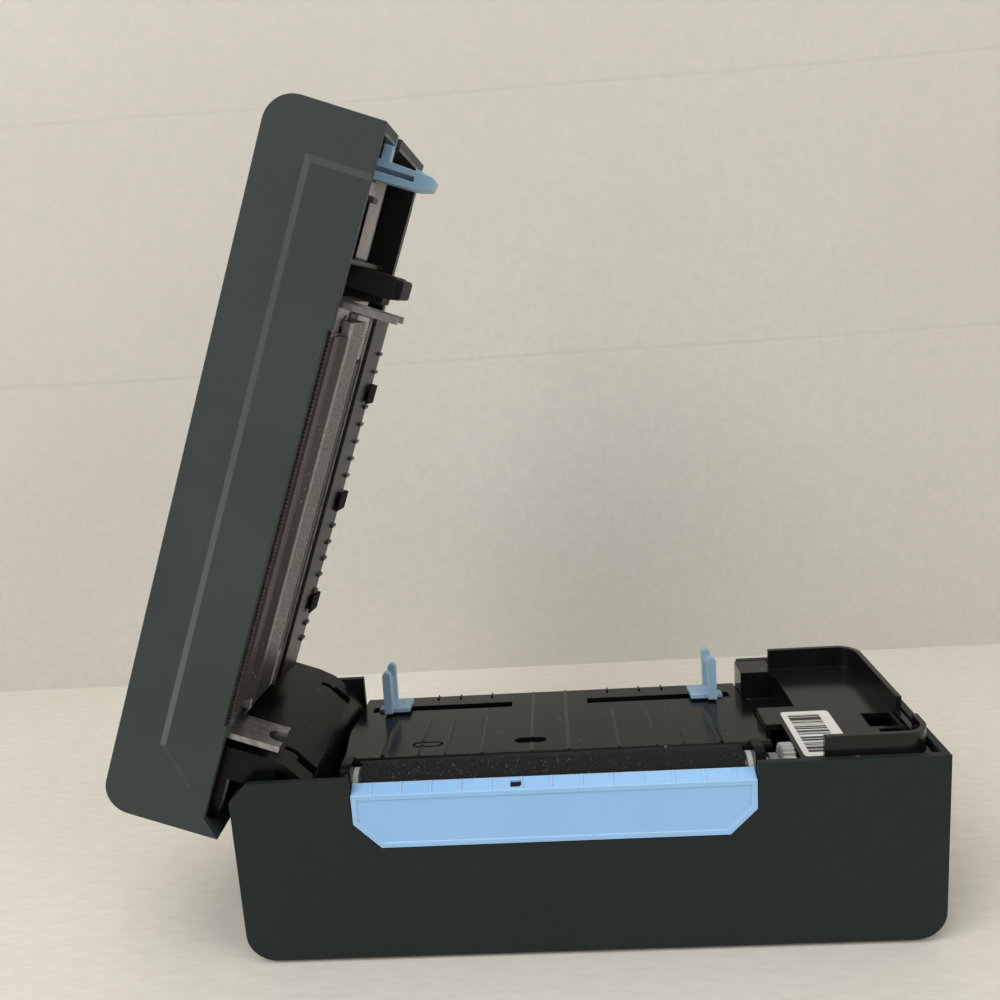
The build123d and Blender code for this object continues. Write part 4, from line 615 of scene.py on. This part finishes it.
# %% Build the label
columns, rows = 40, 24
x, y = sheet_grid(columns, rows, LABEL_ROUNDING)
level = np.full_like(x, DECK_TOP + LABEL_THICKNESS)
top = np.stack([x + LABEL_CORNER[0], y + LABEL_CORNER[1], level], axis=-1)
bottom = top.copy()
bottom[..., 2] = DECK_TOP + GLUE
count = columns * rows
points = np.concatenate([top.reshape(-1, 3), bottom.reshape(-1, 3)])
outline = np.concatenate([
    np.arange(columns),
    columns * np.arange(1, rows) + columns - 1,
    columns * (rows - 1) + np.arange(columns - 2, -1, -1),
    columns * np.arange(rows - 2, 0, -1),
])
following = np.roll(outline, -1)
side = np.stack([outline, outline + count, following + count, following], axis=1)
faces = np.concatenate([quads(columns, rows), quads(columns, rows, count, True), side])
deck_label = mesh_from("deck_label", points, faces, label_paper)

uv = deck_label.data.uv_layers.new(name="UVMap")
corners = np.zeros(len(deck_label.data.loops), dtype=np.int32)
deck_label.data.loops.foreach_get("vertex_index", corners)
flat = (points[corners, :2] - LABEL_CORNER) / LABEL_SIZE
uv.data.foreach_set("uv", flat.astype(np.float32).ravel())
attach(deck_label, "base")
print("label:", len(faces), "faces")

# %% [markdown]
# ## Table
# The printer stands on a table painted cream. The brush has left long streaks from left to right,
# so the noise is stretched along X, and a second, broad noise puts faint warmer patches on it.

# %% Paint the table
STREAK_STRETCH = (0.3, 1.0, 1.0)
WARM_PATCHES = (0.35, 0.7)

table_paint, tree, shader = blank("Table paint")
place = where(tree)
long = add(tree, "ShaderNodeMapping", Vector=place, Scale=STREAK_STRETCH)
streak = noise(tree, long.outputs[0], 420.0, 5.0, 0.6)
patch = spread(tree, noise(tree, place, 9.0, 3.0), *WARM_PATCHES, 0.0, 0.3)
tone = blend(tree, spread(tree, streak, *NARROW), srgb(214, 209, 198), srgb(222, 218, 207))
tone = blend(tree, patch, tone, srgb(207, 201, 188))
bump = add(tree, "ShaderNodeBump", Strength=0.15, Distance=0.0005, Height=streak)
feed(tree, shader, Base_Color=tone, Roughness=0.55, Normal=bump.outputs["Normal"])
print("material:", table_paint.name)

# %% [markdown]
# ## Wall
# The wall behind is mottled plaster with a few faint level seams. The height folds back and forth
# with a ping-pong step, and where it comes near zero there is a seam. A little noise makes the
# seams wavy. The wall can be seen through from behind, so that it doesn't hide the printer's back:
# Backfacing tells the two sides apart and switches between plaster and nothing.

# %% Plaster the wall
SEAM_GAP = 0.0623
SEAM_SHIFT = 0.0845
SEAM_WIDTH = 0.0016
SEAM_DEPTH = 0.4
SEAM_SHADE = 0.1
LOWEST_SEAM = 0.1
WAVE = 0.003

wall_paper, tree, shader = blank("Wall")
place = where(tree)
fine = noise(tree, place, 260.0, 6.0, 0.65)
broad = spread(tree, noise(tree, place, 4.0, 3.0), *NARROW)
wave = product(tree, noise(tree, place, 7.0, 2.0), WAVE)
height = add(tree, "ShaderNodeSeparateXYZ", Vector=place).outputs["Z"]
level = maths(tree, "ADD", height, wave)
board = maths(tree, "PINGPONG", maths(tree, "ADD", level, SEAM_SHIFT), SEAM_GAP)
seam = spread(tree, board, 0.0, SEAM_WIDTH, 1.0, 0.0)
seam = product(tree, seam, maths(tree, "GREATER_THAN", level, LOWEST_SEAM))
tone = blend(tree, broad, srgb(201, 197, 187), srgb(208, 204, 195))
tone = blend(tree, spread(tree, fine, 0.4, 0.6, 0.0, 0.3), tone, srgb(190, 188, 179))
tone = blend(tree, product(tree, seam, SEAM_SHADE), tone, srgb(160, 158, 148))
relief = maths(tree, "SUBTRACT", fine, product(tree, seam, SEAM_DEPTH))
bump = add(tree, "ShaderNodeBump", Strength=0.4, Distance=0.0006, Height=relief)
feed(tree, shader, Base_Color=tone, Roughness=0.8, Normal=bump.outputs["Normal"])

behind = tree.nodes.new("ShaderNodeNewGeometry").outputs["Backfacing"]
plaster = shader.outputs["BSDF"]
see_through = tree.nodes.new("ShaderNodeBsdfTransparent").outputs["BSDF"]
one_sided = switch(tree, behind, plaster, see_through)
feed(tree, tree.nodes["Material Output"], Surface=one_sided)
print("material:", wall_paper.name)

# %% [markdown]
# ## The stage
# Table and wall are one flat face each, wide enough to fill the picture that is taken from the
# front. They are only scenery and are not attached to any of the printer's bodies.

# %% Stand the two planes
WALL_Y = 0.19
WALL_FOOT = -0.2
REACH = 2


def plane(name, points, material):
    """A flat four-sided face for the stage."""
    return mesh_from(name, np.array(points, dtype=float), np.array([[0, 1, 2, 3]]), material)


left, right = -REACH, REACH
level = [(left, -REACH, 0), (right, -REACH, 0), (right, WALL_Y, 0), (left, WALL_Y, 0)]
table = plane("table", level, table_paint)
upright = [
    (left, WALL_Y, WALL_FOOT),
    (right, WALL_Y, WALL_FOOT),
    (right, WALL_Y, REACH),
    (left, WALL_Y, REACH),
]
wall = plane("wall", upright, wall_paper)
print("stage:", table.name, "and", wall.name)

# %% [markdown]
# ## Light
# Four soft square lamps light the scene. A broad one at the upper left, the window, does much of
# the work. A weaker one fills the right, a low one at the left reaches the printer's front, and one
# overhead lifts the table. Large lamps give soft shadows, as in the photograph. The window is aimed
# past the printer, and the low lamp is large, so that the table near them doesn't turn white in
# views from the side.

# %% Hang the lamps


def soft_light(name, place, aim, size, power, colour):
    """A square area light at place that shines towards aim."""
    lamp = bpy.data.lights.new(name, "AREA")
    lamp.size = size
    lamp.energy = power
    lamp.color = colour
    holder = bpy.data.objects.new(name, lamp)
    holder.location = place
    direction = np.array(aim) - np.array(place)
    holder.rotation_mode = "QUATERNION"
    holder.rotation_quaternion = Vector(direction).to_track_quat("-Z", "Y")
    bpy.context.scene.collection.objects.link(holder)


soft_light("window", (-0.7, -0.7, 1.1), (0.35, 0.3, 0.3), 0.9, 11.6, (0.98, 0.99, 1.0))
soft_light("fill", (0.9, -0.8, 0.7), (0.0, 0.0, 0.08), 0.8, 6.0, (1.0, 0.99, 0.98))
soft_light("low", (-0.95, -0.7, 0.2), (-0.14, -0.03, 0.1), 1.0, 2.9, (1.0, 0.97, 0.94))
soft_light("ceiling", (0.0, 0.0, 1.6), (0.0, 0.02, 0.0), 1.2, 8.0, (1.0, 1.0, 0.99))
print("lamps:", sorted(lamp.name for lamp in bpy.data.lights))

# %% [markdown]
# ## The room
# A dim grey room lights the printer faintly from all sides, so that no shadow is quite black. The
# camera itself sees a paler room beyond the table: a brighter world would do that too, but it
# would wash out the shadows, so the Light Path node gives the camera's own rays another colour.

# %% Surround the table with a room
ROOM_STRENGTH = 0.35

world = bpy.data.worlds.new("Room")
world.use_nodes = True
bpy.context.scene.world = world
tree = world.node_tree
dim = tree.nodes["Background"]
feed(tree, dim, Color=srgb(214, 214, 211), Strength=ROOM_STRENGTH)
pale_room = add(tree, "ShaderNodeBackground", Color=srgb(206, 204, 198))
seen = tree.nodes.new("ShaderNodeLightPath").outputs["Is Camera Ray"]
room = switch(tree, seen, dim.outputs["Background"], pale_room.outputs["Background"])
feed(tree, tree.nodes["World Output"], Surface=room)
print("world:", world.name)

# %% [markdown]
# ## Camera
# The place, turn and lens were worked out from the straight edges of the base in the photograph.
# The first three columns of the matrix are the camera's right, up and backward directions, the
# last one is its place in metres.

# %% Set up the camera
SENSOR_WIDTH = 36.0
FOCAL_LENGTH = 34.369

lens = bpy.data.cameras.new("camera")
lens.sensor_width = SENSOR_WIDTH
lens.lens = FOCAL_LENGTH
lens.clip_start = 0.01
camera = bpy.data.objects.new("camera", lens)
bpy.context.scene.collection.objects.link(camera)
camera.matrix_world = Matrix((
    (0.997003, 0.057138, 0.052162, -0.0046922),
    (0.039554, 0.202990, -0.978382, -0.28893),
    (-0.066491, 0.977512, 0.200121, 0.18901),
    (0.0, 0.0, 0.0, 1.0),
))
bpy.context.scene.camera = camera
bpy.context.scene.view_settings.view_transform = "Standard"
print("camera at", [round(c, 3) for c in camera.location])
